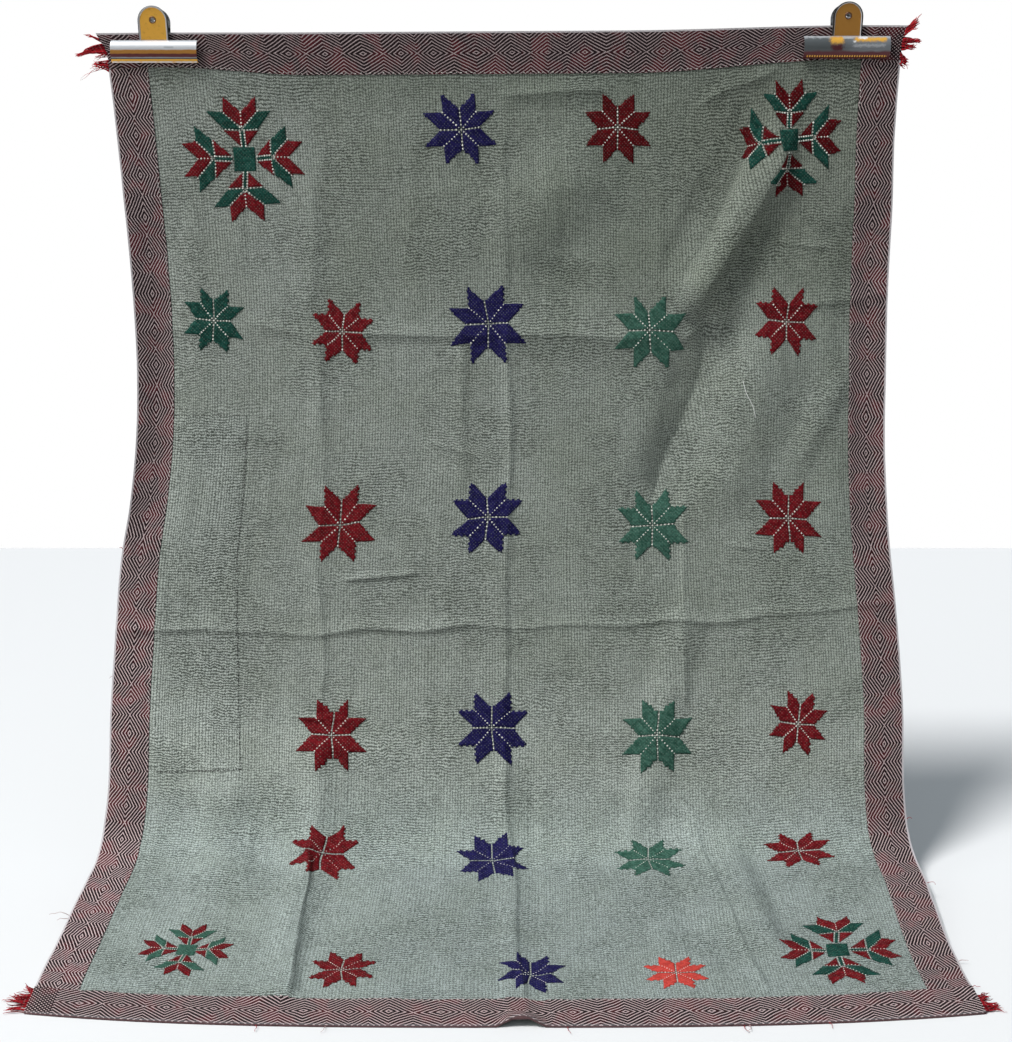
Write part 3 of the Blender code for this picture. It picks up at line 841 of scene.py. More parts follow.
# Marks on the right bar, brass where the plating is worn and painted reflections and highlights
# elsewhere: left, right, low and high, softness, finish
RIGHT_MARKS = (
    ((-0.031, -0.004, -0.030, -0.010), 0.008, MAROON),
    ((-0.031, -0.004, -0.016, 0.002), 0.006, BRASS),
    ((0.010, 0.068, -0.012, 0.000), 0.005, BRASS),
    ((-0.010, 0.010, -0.006, 0.002), 0.003, NICKEL),
    ((0.020, 0.034, -0.007, 0.001), 0.003, GLINT),
    ((0.008, 0.066, -0.021, -0.012), 0.006, NICKEL),
    ((0.008, 0.015, -0.013, -0.007), 0.003, GLINT),
)
RIGHT_LIP = (-0.068, 0.068, -0.0345, -0.0310)
DASH_PITCH = 0.0042
# Bands of painted reflection down the left bar: where each begins, where it is whole, finish
LEFT_REFLECTION_BANDS = (
    (-0.0155, -0.0175, BRASS_BROWN),
    (-0.0215, -0.0240, MAROON),
    (-0.0275, -0.0285, NICKEL_DARK),
)
# A dark painted reflection on the left bar, and where a painted highlight runs along its lip: left,
# right, low and high
LEFT_MARK = (0.016, 0.036, -0.0150, -0.0095)
LEFT_LIP = (-0.072, 0.072, -0.0366, -0.0338)
LIP_LINE = -0.0302
RIM_FROM = TANG_WIDE / 2 - 0.0030
# Over what distance the finish changes at the tang's rim, its line of painted shade and its eyelet
RIM_SOFT = 0.0012
SHADE_LINE_SOFT = 0.0006
EYELET_SOFT = 0.0010


def patch_mask(nodes, u, v, box, soft):
    """1 inside a box of left, right, low and high, with soft sides."""
    left, right, low, high = box
    sides = nodes.times(nodes.smooth(u, left, left + soft), nodes.smooth(u, right, right - soft))
    ends = nodes.times(nodes.smooth(v, low, low + soft), nodes.smooth(v, high, high - soft))
    return nodes.times(sides, ends)


def distance(nodes, x, y):
    return nodes.calc("SQRT", nodes.plus(nodes.calc("POWER", x, 2.0), nodes.calc("POWER", y, 2.0)))


def tang_face(nodes, u, v, colour, plate, shade_line_from):
    """Brass inside the tang's bright rim, above the bar, and a line of painted shade round the rim.
    """
    shoulder = TANG_TALL - TANG_WIDE / 2
    reach = distance(nodes, u, nodes.calc("MAXIMUM", nodes.minus(v, shoulder), 0.0))
    above = nodes.smooth(v, 0.0, RIM_SOFT)
    inner = nodes.times(nodes.smooth(reach, RIM_FROM, RIM_FROM - RIM_SOFT), above)
    tarnish = nodes.noise(nodes.uv(), 140.0, 3.0, 0.6)
    brass = nodes.mix(nodes.times(nodes.smooth(tarnish, 0.50, 0.80), 0.5), plate, BRASS_BROWN)
    from_hole = distance(nodes, u, nodes.minus(v, TANG_TALL - HOLE_BELOW))
    ring_edge = HOLE_RADIUS + EYELET_WIDE
    ring = nodes.smooth(from_hole, ring_edge + EYELET_SOFT, ring_edge)
    brass = nodes.mix(nodes.times(ring, 0.85), brass, EYELET_DARK)
    edge = nodes.times(above, nodes.smooth(reach, shade_line_from, shade_line_from + SHADE_LINE_SOFT))
    return nodes.mix(inner, nodes.mix(edge, colour, PAINTED_SHADE), brass)


def plated(nodes, colour):
    scuff = nodes.noise(nodes.uv(), 300.0, 3.0, 0.6)
    rough = nodes.fit(scuff, 0.25, 0.32)
    nodes.bump(scuff, 0.0002, 0.15)
    return nodes.finish(Base_Color=colour, Metallic=0.50, Roughness=rough)


def left_plating(name):
    nodes = Nodes(name)
    u, v = nodes.split(nodes.uv())
    waver = nodes.fit(nodes.noise(nodes.uv(), 60.0, 2.0), 0.0024, nodes.plus(v, -0.0012))
    # Painted reflections: pale nickel at the top and bands below it; a line of painted shade above
    # the lip and a painted highlight along it
    colour = NICKEL
    for start, whole, finish in LEFT_REFLECTION_BANDS:
        colour = nodes.mix(nodes.smooth(waver, start, whole), colour, finish)
    colour = nodes.mix(patch_mask(nodes, u, v, LEFT_MARK, 0.004), colour, NICKEL_DARK)
    # a line of painted shade above the lip
    colour = nodes.mix(nodes.smooth(v, LIP_LINE + 0.0006, LIP_LINE), colour, PAINTED_SHADE)
    colour = nodes.mix(nodes.smooth(v, LIP_LINE - 0.0006, LIP_LINE - 0.0014), colour, BRASS)
    glint = nodes.smooth(nodes.noise(nodes.join(u, 0.0), 70.0, 1.0), 0.30, 0.50)
    line = nodes.times(glint, patch_mask(nodes, u, v, LEFT_LIP, 0.0008))
    colour = nodes.mix(line, colour, GLINT)
    return plated(nodes, tang_face(nodes, u, v, colour, BRASS, RIM_FROM + 0.0014))


def right_plating(name):
    nodes = Nodes(name)
    u, v = nodes.split(nodes.uv())
    stray = nodes.fit(nodes.noise(nodes.uv(), 150.0, 3.0, 0.75), 0.018, -0.009)
    near_u, near_v = nodes.plus(u, stray), nodes.fit(stray, 0.5, v)
    steel = nodes.mix(nodes.smooth(u, -0.03, 0.03), STEEL_BLUE, NICKEL_DARK)
    colour = nodes.mix(nodes.smooth(near_v, -0.001, -0.006), NICKEL, steel)
    # worn brass, and painted reflections and highlights
    for box, soft, finish in RIGHT_MARKS:
        colour = nodes.mix(patch_mask(nodes, near_u, near_v, box, soft), colour, finish)
    waver = nodes.fit(nodes.noise(nodes.uv(), 50.0, 2.0), 0.004, v)
    # a maroon band of painted reflection, as on the left bar
    colour = nodes.mix(nodes.smooth(waver, -0.021, -0.026), colour, MAROON)
    dashes = nodes.smooth(nodes.wave("SINE", u, DASH_PITCH), -0.5, 0.3)
    lip = nodes.times(dashes, patch_mask(nodes, u, v, RIGHT_LIP, 0.001))
    colour = nodes.mix(lip, colour, BRASS)
    return plated(nodes, tang_face(nodes, u, v, colour, BRASS_DULL, RIM_FROM + 0.0004))


# Painted shade: the back jaws are dark, mottled between two dark tones
def back_plating(name):
    nodes = Nodes(name)
    stain_and_shade = nodes.noise(nodes.uv(), 80.0, 3.0, 0.6)
    colour = nodes.mix(nodes.smooth(stain_and_shade, 0.40, 0.65), NICKEL_DARK, PAINTED_SHADE)
    return plated(nodes, colour)


def spring_steel():
    nodes = Nodes("spring_steel")
    stain_and_shade = nodes.noise(nodes.uv(), 200.0, 3.0, 0.6)
    colour = nodes.mix(nodes.smooth(stain_and_shade, 0.40, 0.70), STEEL_GREY, STEEL_BROWN)
    return plated(nodes, colour)


# ---------------------------------------------------------------- cloth
# Patch of the same cotton, sewn on: its corners' across and down
PATCH = (
    (0.060, 0.647), (0.206, 0.647), (0.211, 0.905),
    (0.232, 1.281), (0.081, 1.294), (0.060, 1.000),
)
PATCH_HIGH = 0.0010
# Longest cells under the tapes, and of the back across and down
UNDER_TAPE = 0.009
BACK_ACROSS = 0.025
BACK_DOWN = 0.016


def stitch_values(across, down):
    row, phase = stitch_place(across, down)
    return {"row": row, "phase": phase, "patch": inside(PATCH, across, down) * 1.0}


def field_grid():
    """The whole front face: a line on each stitch row and one midway to the next."""
    middles = (STITCH_ROWS[1:] + STITCH_ROWS[:-1]) / 2
    field = np.sort(np.concatenate([STITCH_ROWS, middles]))
    left = np.linspace(0, TAPE_WIDTH, TAPE_CELLS + 1)[:-1]
    across = np.concatenate([left, field, QUILT_WIDTH - left[::-1]])
    down = np.concatenate([
        lines([0.0, TAPE_WIDTH], UNDER_TAPE)[:-1],
        lines([TAPE_WIDTH, QUILT_LENGTH - TAPE_WIDTH], FINE_DOWN),
        lines([QUILT_LENGTH - TAPE_WIDTH, QUILT_LENGTH], UNDER_TAPE)[1:],
    ])
    a, d = np.meshgrid(across, down)
    puff = quilting(a, d)
    shown = in_field(a, d)
    lift = QUILT_THICK / 2 + PUFF_HEIGHT * puff_swell(a, d) * (puff - 0.35) * shown
    lift = lift + PATCH_HIGH * inside(PATCH, a, d) * shown
    return Grid(across, down, raised(a, d, lift), stitch_values(a, d))


def back_grid(across, down):
    a, d = np.meshgrid(across, down)
    points = raised(a, d, -QUILT_THICK / 2)
    points[..., 2] = np.maximum(points[..., 2], 0.0)
    return Grid(across, down, points, stitch_values(a, d))


def make_cloth():
    whole = field_grid()
    sage = cotton("sage_cotton")
    count = len(whole.across)
    cuts = [round((count - 1) * k / PANELS) for k in range(PANELS + 1)]
    down = lines([0.0, QUILT_LENGTH], BACK_DOWN)
    pieces = []
    for k in range(PANELS):
        part = whole.columns(cuts[k], cuts[k + 1])
        back = back_grid(lines([part.across[0], part.across[-1]], BACK_ACROSS), down)
        piece = slab("quilt_width_%d" % (k + 1), part, back, sage)
        pieces.append((piece, float(part.across[-1] - part.across[0])))
    return pieces


def tape_grid(across, down, lift):
    a, d = np.meshgrid(across, down)
    return Grid(across, down, raised(a, d, lift), {})


def make_tape(name, across, down, upright, middle, start, material):
    """A strip of tape. Its UV runs across it from its middle line, and along it from its start."""
    low = QUILT_THICK / 2 + GAP
    front = tape_grid(across, down, low + TAPE_THICK)
    coarse_across, coarse_down = across[::2], down[::2]
    if coarse_across[-1] != across[-1]:
        coarse_across = np.append(coarse_across, across[-1])
    if coarse_down[-1] != down[-1]:
        coarse_down = np.append(coarse_down, down[-1])
    back = tape_grid(coarse_across, coarse_down, low)
    piece = slab(name, front, back, material)
    layer = piece.data.uv_layers["Cloth"].data
    uv = np.zeros(len(layer) * 2, np.float32)
    layer.foreach_get("uv", uv)
    uv = uv.reshape(-1, 2)
    uv[:, 1] -= drawn_up(uv[:, 0], uv[:, 1]) * upright
    turned = uv if upright else uv[:, ::-1]
    layer.foreach_set("uv", (turned - np.array([middle, start])).astype(np.float32).ravel())
    return piece


def make_tapes():
    fine, wide = 0.004, 0.0045
    foot = QUILT_LENGTH - TAPE_WIDTH
    half = TAPE_WIDTH / 2
    over = lines([0.0, QUILT_WIDTH], fine)
    side = lines([TAPE_WIDTH + GAP, foot - GAP], fine)
    band = lines([0.0, TAPE_WIDTH], wide)
    none = (QUILT_LENGTH, QUILT_LENGTH + TAPE_WIDTH)
    top_dots = (QUILT_WIDTH - 0.104, QUILT_WIDTH)
    bottom_dots = (-TAPE_WIDTH, 0.030)
    return [
        make_tape("tape_top", over, band, False, half, 0.054, tape("tape_top", top_dots, -1, 0.74)),
        make_tape("tape_bottom", over, foot + band, False, foot + half, 0.011,
                  tape("tape_bottom", bottom_dots, 1, 1.05, 1.0, 0.0068, 0.2)),
        make_tape("tape_left", band, side, True, half, 0.036,
                  tape("tape_left", none, -1, 0.98, 1.25)),
        make_tape("tape_right", QUILT_WIDTH - TAPE_WIDTH + band, side, True,
                  QUILT_WIDTH - half, 0.056, tape("tape_right", none, 1, 0.95)),
    ]


# ---------------------------------------------------------------- embroidery
# Motifs: kind, yarn, second yarn, across and down of the middle, width, height, turn in degrees
MOTIFS = (
    ("medallion", "crimson", "bottle", 0.225, 0.206, 0.211, 0.200, 0),
    ("medallion", "garnet", "bottle", 1.209, 0.179, 0.177, 0.186, 2),
    ("medallion", "crimson", "leaf", 0.208, 1.706, 0.140, 0.142, 0),
    ("medallion", "crimson", "bottle", 1.222, 1.708, 0.183, 0.183, -2),
    ("star", "indigo", "", 0.618, 0.159, 0.130, 0.117, 2),
    ("star", "garnet", "", 0.901, 0.160, 0.119, 0.116, 0),
    ("star", "bottle", "", 0.149, 0.481, 0.107, 0.113, -4),
    ("star", "crimson", "", 0.387, 0.501, 0.114, 0.108, -5),
    ("star", "indigo", "", 0.656, 0.491, 0.142, 0.135, 2),
    ("star", "leaf", "", 0.959, 0.503, 0.130, 0.123, 0),
    ("star", "crimson", "", 1.211, 0.486, 0.112, 0.114, -3),
    ("star", "crimson", "", 0.392, 0.839, 0.129, 0.135, 1),
    ("star", "indigo", "", 0.662, 0.829, 0.129, 0.128, 0),
    ("star", "leaf", "", 0.966, 0.842, 0.125, 0.121, 1),
    ("star", "crimson", "", 1.216, 0.830, 0.118, 0.126, -2),
    ("star", "crimson", "", 0.393, 1.216, 0.116, 0.126, 0),
    ("star", "indigo", "", 0.676, 1.203, 0.122, 0.126, 1),
    ("star", "leaf", "", 0.966, 1.217, 0.120, 0.128, 0),
    ("star", "crimson", "", 1.214, 1.199, 0.099, 0.117, -6),
    ("star", "crimson", "", 0.390, 1.436, 0.111, 0.117, 0),
    ("star", "indigo", "", 0.678, 1.442, 0.120, 0.107, 4),
    ("star", "leaf", "", 0.946, 1.442, 0.113, 0.085, 0),
    ("star", "crimson", "", 1.204, 1.432, 0.114, 0.070, 0),
    ("star", "crimson", "", 0.457, 1.752, 0.102, 0.097, 0),
    ("star", "indigo", "", 0.744, 1.762, 0.099, 0.107, -3),
    ("star", "orange", "", 0.963, 1.761, 0.099, 0.091, 0),
)
# Shapes in one eighth of a motif, which is mirrored round it: (nearer axis, further axis)
STAR_PETAL = ((0.000, -0.060), (0.000, 0.565), (0.482, 1.018), (0.480, 0.430))
STAR_GAP = 0.012
CORE = 0.196
STEM = (0.022, 0.205, 0.49)  # half width, start, end
INNER_PETAL = ((0.048, 0.215), (0.048, 0.484), (0.302, 0.488))
LEAF = ((0.010, 0.520), (0.040, 0.505), (0.302, 0.508), (0.542, 0.775), (0.302, 0.790))
TIP_PETAL = ((0.0, 0.545), (0.0, 0.800), (0.280, 1.05), (0.292, 0.795))
STITCH_CELL = 0.0025
REACH = 1.06  # how far a motif's lattice goes, in half widths of the motif
STITCH_LOW = QUILT_THICK / 2 + 0.0002
STITCH_HIGH = QUILT_THICK / 2 + 0.0013
STITCH_UNEVEN = 0.0002
RIM_DROP = 0.0004
HAND_WOBBLE = 0.022
DOT_SIZE = 0.0033
FLOOR_DOT_SIZE = 0.0023

WOBBLE_X, WOBBLE_Y, STITCH_NOISE = (Noise(seed) for seed in range(21, 24))


def in_star(low, high, cell):
    """Whether places are on a star, its edges stepped by cross stitches of two cells each."""
    step = 2 * cell
    shift = 0.5 * (np.floor(high / step) % 2)
    stepped_low = (np.floor(low / step + shift) + 0.5 - shift) * step
    stepped_high = (np.floor(high / step) + 0.5) * step
    shown = inside(STAR_PETAL, stepped_low, stepped_high) | inside(STAR_PETAL, low, high)
    return shown & (low > STAR_GAP)


def motif_yarns(kind, x, y, cell):
    """0 for bare cloth, 1 for the motif's yarn and 2 for its second yarn."""
    low, high = np.minimum(np.abs(x), np.abs(y)), np.maximum(np.abs(x), np.abs(y)) + 1e-6
    if kind == "star":
        return in_star(low, high, cell).astype(int)
    half, start, end = STEM
    stem = (low < half) & (high > start) & (high < end)
    second = (high < CORE) | stem | inside(LEAF, low, high)
    first = inside(INNER_PETAL, low, high) | inside(TIP_PETAL, low, high)
    return np.where(first, 1, 0) + np.where(second & ~first, 2, 0)


def spread(start, end, count):
    return [(start[0] + (end[0] - start[0]) * t, start[1] + (end[1] - start[1]) * t)
            for t in np.linspace(0, 1, count)]


def motif_dots(kind):
    """Pale stitches of one eighth, in the same coordinates as the shapes."""
    if kind == "star":
        dots = spread((0.065, 0.065), (0.47, 0.47), 7) + spread((0.0, 0.14), (0.0, 0.56), 5)
        return dots + [(0.0, 0.0)]
    dots = spread((0.036, 0.225), (0.036, 0.465), 6) + spread((0.04, 0.496), (0.26, 0.496), 5)
    dots += spread((0.03, 0.545), (0.31, 0.800), 8) + spread((0.0, 0.56), (0.0, 0.79), 5)
    return dots


def motif_places(motif, number, x, y):
    """Cloth coordinates of a motif's own ones, with the unevenness of hand work."""
    _, _, _, across, down, wide, tall, turn = motif
    wobbled_x = x + HAND_WOBBLE * 2 * WOBBLE_X(x * 1.6 + 9 * number, y * 1.6)
    wobbled_y = y + HAND_WOBBLE * 2 * WOBBLE_Y(x * 1.6 + 9 * number, y * 1.6)
    c, s = cos(radians(turn)), sin(radians(turn))
    over = across + (wobbled_x * c - wobbled_y * s) * wide / 2
    along = down - (wobbled_x * s + wobbled_y * c) * tall / 2
    return over, along + drawn_up(over, along + drawn_up(over, along))


class Builder:
    """Collects the points, faces, cloth coordinates and relief of many small shapes."""

    def __init__(self):
        self.points, self.faces, self.uv, self.relief, self.count = [], [], [], [], 0

    def add(self, points, face_blocks, uv, relief):
        self.points.append(points)
        for block in face_blocks:
            self.faces += (np.asarray(block) + self.count).tolist()
        self.uv.append(uv)
        self.relief.append(relief)
        self.count += len(points)

    def object(self, name, material):
        mesh = bpy.data.meshes.new(name)
        mesh.from_pydata(np.concatenate(self.points).tolist(), [], self.faces)
        mesh.update()
        set_surface(mesh, np.concatenate(self.uv), {"relief": np.concatenate(self.relief)})
        mesh.shade_smooth()
        return link_object(name, mesh, material)


def stitch_block(builder, shown, across, down, seed):
    """Raises the shown cells of a lattice above the cloth, closed below, with stepped edges."""
    padded = np.pad(shown, 1)
    around = padded[:-1, :-1] * 1 + padded[1:, :-1] + padded[:-1, 1:] + padded[1:, 1:]
    used = around > 0
    index = np.full(used.shape, -1)
    index[used] = np.arange(used.sum())
    rim = (around < 4)[used]
    a, d = across[used], down[used]
    jitter = STITCH_UNEVEN * STITCH_NOISE(a / 0.0021 + seed, d / 0.0021)
    top = raised(a, d, STITCH_HIGH - RIM_DROP * rim + jitter)
    low = raised(a, d, np.full(a.shape, STITCH_LOW))
    size = len(a)
    j, i = np.nonzero(shown)
    corners = [index[j, i], index[j + 1, i], index[j + 1, i + 1], index[j, i + 1]]
    faces = [np.stack(corners, axis=1), np.stack(corners[::-1], axis=1) + size]
    steps = ((0, -1, 0, 1), (1, 0, 1, 2), (0, 1, 2, 3), (-1, 0, 3, 0))
    for down_step, over_step, first, second in steps:
        open_side = ~padded[j + 1 + down_step, i + 1 + over_step]
        one, two = corners[first][open_side], corners[second][open_side]
        faces.append(np.stack([two, one, one + size, two + size], axis=1))
    # Random tone for each stitch on top; the lower copy, at 0.3 of it, is painted shade that
    # darkens the walls towards the cloth
    shade = 0.5 + 0.5 * STITCH_NOISE(a / 0.0030 + 50, d / 0.0016 + seed)
    uv = np.stack([a, d], axis=1)
    builder.add(
        np.concatenate([top, low]), faces,
        np.concatenate([uv, uv]), np.concatenate([shade, shade * 0.3]),
    )


OCTAHEDRON = (
    (0, 2, 4), (2, 1, 4), (1, 3, 4), (3, 0, 4),
    (2, 0, 5), (1, 2, 5), (3, 1, 5), (0, 3, 5),
)


def add_dashes(builder, across, down, heading, long, wide, lift, seed):
    """Small stitches, each a flat bead. heading is its direction as across and down."""
    rng = np.random.default_rng(seed)
    point, over, along, out = cloth_frame(across, down)
    point = raised(across, down, np.full(np.shape(across), lift))
    ahead = unit(over * heading[0] + along * heading[1])
    aside = np.cross(ahead, out)
    scale = rng.uniform(0.75, 1.2, (len(point), 1))
    ahead, aside, out = ahead * scale * long / 2, aside * scale * wide / 2, out * wide / 2
    tips = [ahead, -ahead, aside, -aside, out * 0.7, -out]
    points = np.stack([point + tip for tip in tips], axis=1).reshape(-1, 3)
    faces = (np.array(OCTAHEDRON)[None] + 6 * np.arange(len(point))[:, None, None]).reshape(-1, 3)
    uv = np.repeat(np.stack([across, down], axis=1), 6, axis=0)
    builder.add(points, [faces], uv, np.repeat(rng.uniform(0, 1, len(point)), 6))


def add_seam(builder, start, end, pitch, long, wide, lift, seed):
    """Running stitches along a straight line on the cloth."""
    rng = np.random.default_rng(seed)
    run = np.hypot(end[0] - start[0], end[1] - start[1])
    heading = ((end[0] - start[0]) / run, (end[1] - start[1]) / run)
    at = np.arange(pitch / 2, run, pitch)
    at = at + rng.uniform(-0.2, 0.2, len(at)) * pitch
    stray = rng.normal(0, wide * 0.3, len(at))
    across = start[0] + heading[0] * at - heading[1] * stray
    down = start[1] + heading[1] * at + heading[0] * stray
    add_dashes(builder, across, down, heading, long, wide, lift, seed + 1)


def motif_mirrors(dots):
    """The dots of one eighth, mirrored round the whole motif without doubles."""
    found = set()
    for low, high in dots:
        for x, y in ((low, high), (high, low)):
            for sx in (1, -1):
                for sy in (1, -1):
                    found.add((round(sx * x, 4) + 0.0, round(sy * y, 4) + 0.0))
    ordered = np.array(sorted(found))
    return ordered[:, 0], ordered[:, 1]


def make_embroidery():
    yarns = {}
    dots = Builder()
    for number, motif in enumerate(MOTIFS):
        kind, first, second, _, middle_down, wide, tall, _ = motif
        dot = FLOOR_DOT_SIZE if middle_down > BEND_START else DOT_SIZE
        odd = 1 if kind == "star" else 0
        cols, rows = (2 * round(side * REACH / STITCH_CELL / 2) + odd for side in (wide, tall))
        x = np.linspace(-REACH, REACH, cols + 1)
        y = np.linspace(REACH, -REACH, rows + 1)
        middle_x, middle_y = np.meshgrid((x[1:] + x[:-1]) / 2, (y[1:] + y[:-1]) / 2)
        code = motif_yarns(kind, middle_x, middle_y, x[1] - x[0])
        across, down = motif_places(motif, number, *np.meshgrid(x, y))
        for value, yarn in ((1, first), (2, second)):
            if (code == value).any():
                stitch_block(yarns.setdefault(yarn, Builder()), code == value, across, down, number)
        dot_across, dot_down = motif_places(motif, number, *motif_mirrors(motif_dots(kind)))
        add_dashes(dots, dot_across, dot_down, (1.0, 0.0), dot, dot, STITCH_HIGH, number)
    pieces = [
        built.object("embroidery_" + name, yarn_finish(name))
        for name, built in yarns.items()
    ]
    pieces.append(dots.object("embroidery_outline", yarn_finish("pale")))
    return pieces


# ---------------------------------------------------------------- seams
TAPE_TOP = QUILT_THICK / 2 + GAP + TAPE_THICK
SEAM_INSIDE = 0.0025
SEAM_PITCH = 0.0085
SEAM_LONG = 0.0040
SEAM_WIDE = 0.0011
PATCH_PITCH = 0.0054
PATCH_SEAM_WIDE = 0.0017


def make_seams():
    """Stitches that hold the tapes on, along their inner edges, and the patch's own seam."""
    near, far = TAPE_WIDTH - SEAM_INSIDE, QUILT_WIDTH - TAPE_WIDTH + SEAM_INSIDE
    foot = QUILT_LENGTH - TAPE_WIDTH + SEAM_INSIDE
    corners = ((near, near), (far, near), (far, foot), (near, foot))
    pale, dark = Builder(), Builder()
    for number, (start, end) in enumerate(zip(corners, corners[1:] + corners[:1])):
        add_seam(pale, start, end, SEAM_PITCH, SEAM_LONG, SEAM_WIDE, TAPE_TOP, 60 + number)
    high = QUILT_THICK / 2 + PATCH_HIGH + PUFF_HEIGHT / 2
    for number in range(4):
        start, end = PATCH[number], PATCH[number + 1]
        add_seam(dark, start, end, PATCH_PITCH, SEAM_LONG, PATCH_SEAM_WIDE, high, 70 + number)
    return [
        pale.object("seam_tapes", yarn_finish("pale")),
        dark.object("seam_patch", yarn_finish("dark")),
    ]


# ---------------------------------------------------------------- loose yarn
# Frayed corners. For each lock: start and end down the tape's end, strands, tip's reach away
# from the edge, along it and out of the cloth, bow along the edge, spread of the tips, radius of
# a strand, and how worn and pale its tips are
FRAYS = {
    "fray_top_left": (
        (0.012, 0.018, 8, 0.022, -0.014, 0.003, -0.006, 0.0014, 0.0008, 1.6),
        (0.018, 0.042, 38, 0.056, 0.011, 0.004, -0.007, 0.0016, 0.0008, 0.5),
        (0.034, 0.046, 8, 0.024, 0.006, 0.006, 0.000, 0.0030, 0.0006, 1.5),
        (0.052, 0.074, 22, 0.030, -0.002, 0.004, -0.004, 0.0055, 0.0008, 0.6),
        (0.060, 0.068, 2, 0.050, 0.020, 0.006, -0.010, 0.0030, 0.0005, 2.2),
    ),
    "fray_top_right": (
        (0.004, 0.022, 40, 0.016, -0.020, 0.004, -0.002, 0.0085, 0.0012, 1.0),
        (0.022, 0.040, 20, 0.033, -0.001, 0.003, -0.002, 0.0030, 0.0011, 0.4),
        (0.032, 0.050, 18, 0.026, 0.001, 0.005, 0.001, 0.0036, 0.0011, 0.2),
        (0.050, 0.076, 38, 0.013, 0.010, 0.003, 0.000, 0.0060, 0.0010, 0.2),
    ),
    "fray_bottom_left": (
        (0.004, 0.020, 12, 0.016, -0.012, 0.002, 0.002, 0.0050, 0.0008, 0.4),
        (0.014, 0.050, 24, 0.028, 0.002, 0.002, 0.003, 0.0120, 0.0010, 0.3),
        (0.030, 0.045, 6, 0.044, 0.004, 0.001, -0.004, 0.0050, 0.0007, 0.8),
        (0.046, 0.066, 12, 0.032, 0.010, 0.002, -0.003, 0.0080, 0.0008, 0.5),
    ),
    "fray_bottom_right": (
        (0.020, 0.044, 20, 0.018, -0.004, 0.002, 0.002, 0.0080, 0.0010, 0.3),
        (0.036, 0.067, 26, 0.026, 0.004, 0.002, 0.002, 0.0100, 0.0010, 0.3),
        (0.052, 0.064, 4, 0.034, 0.012, 0.001, -0.003, 0.0040, 0.0007, 0.9),
    ),
}
STRAND_STEPS = 8
STRAND_SIDES = 4
TIP_SHARE = 0.35  # radius of a tip over its root
STRAND_WAVER = 0.0012
ROOT_INSIDE = 0.0015
ROOT_LEVELS = (-0.0010, 0.0026)


def tube(builder, path, radii, out, sides, shade):
    """A closed yarn or wire along a path. Its side directions are square to out."""
    along = unit(np.gradient(path, axis=0))
    side = unit(np.cross(along, out))
    up = np.cross(side, along)
    turn = 2 * pi * np.arange(sides) / sides
    ring = side[:, None] * np.cos(turn)[:, None] + up[:, None] * np.sin(turn)[:, None]
    points = (path[:, None] + ring * radii[:, None, None]).reshape(-1, 3)
    index = np.arange(len(points)).reshape(-1, sides)
    after = np.roll(index, -1, axis=1)
    walls = np.stack([index[:-1], index[1:], after[1:], after[:-1]], axis=-1).reshape(-1, 4)
    length = np.concatenate([[0], np.cumsum(np.linalg.norm(np.diff(path, axis=0), axis=1))])
    round_way = np.broadcast_to(turn * radii[:, None], index.shape)
    uv = np.stack([round_way, np.broadcast_to(length[:, None], index.shape)], axis=-1)
    relief = np.broadcast_to(np.asarray(shade)[..., None] * np.ones((len(path), 1)), index.shape)
    builder.add(points, [walls, index[:1], index[-1:, ::-1]], uv.reshape(-1, 2), relief.ravel())


def strand_path(root, tip, bow, waver, steps, rng):
    """A curve from root to tip that bows to one side and wavers more towards its tip."""
    t = np.linspace(0, 1, steps + 1)[:, None]
    path = root * (1 - t) ** 2 + ((root + tip) / 2 + bow) * 2 * t * (1 - t) + tip * t * t
    turns, starts = rng.uniform(1.0, 2.2, 3), rng.uniform(0, 2 * pi, 3)
    return path + waver * t * np.sin(2 * pi * turns * t + starts)


def fray_lock(builder, lock, right, floor, rng):
    start, end, count, away_reach, along_reach, out_reach, bow_reach, tips, radius, worn = lock
    base = QUILT_LENGTH - TAPE_WIDTH if floor else 0.0
    edge, away_sign = (QUILT_WIDTH, 1.0) if right else (0.0, -1.0)
    for place in rng.permutation(np.linspace(0, 1, count)):
        down = base + start + (end - start) * place
        point, over, along, out = cloth_frame(edge, down)
        away = over * away_sign
        root = point - away * ROOT_INSIDE + out * rng.uniform(*ROOT_LEVELS)
        short = rng.uniform(0.80, 1.0) if count > 2 else 1.0
        to_middle = (start + end) / 2 - start - (end - start) * place
        reach = away * away_reach + along * (along_reach + to_middle) + out * out_reach
        tip = root + reach * short + (away * rng.normal(0, 0.3) + along * rng.normal(0, 0.6)) * tips
        path = strand_path(root, tip, along * bow_reach, STRAND_WAVER, STRAND_STEPS, rng)
        t = np.linspace(0, 1, STRAND_STEPS + 1)
        radii = radius * rng.uniform(0.8, 1.2) * (1 - (1 - TIP_SHARE) * t**2)
        if floor:
            path[:, 2] = np.maximum(path[:, 2], radii)
        tube(builder, path, radii, out, STRAND_SIDES, rng.uniform(0.1, 0.9) + worn * t**3)


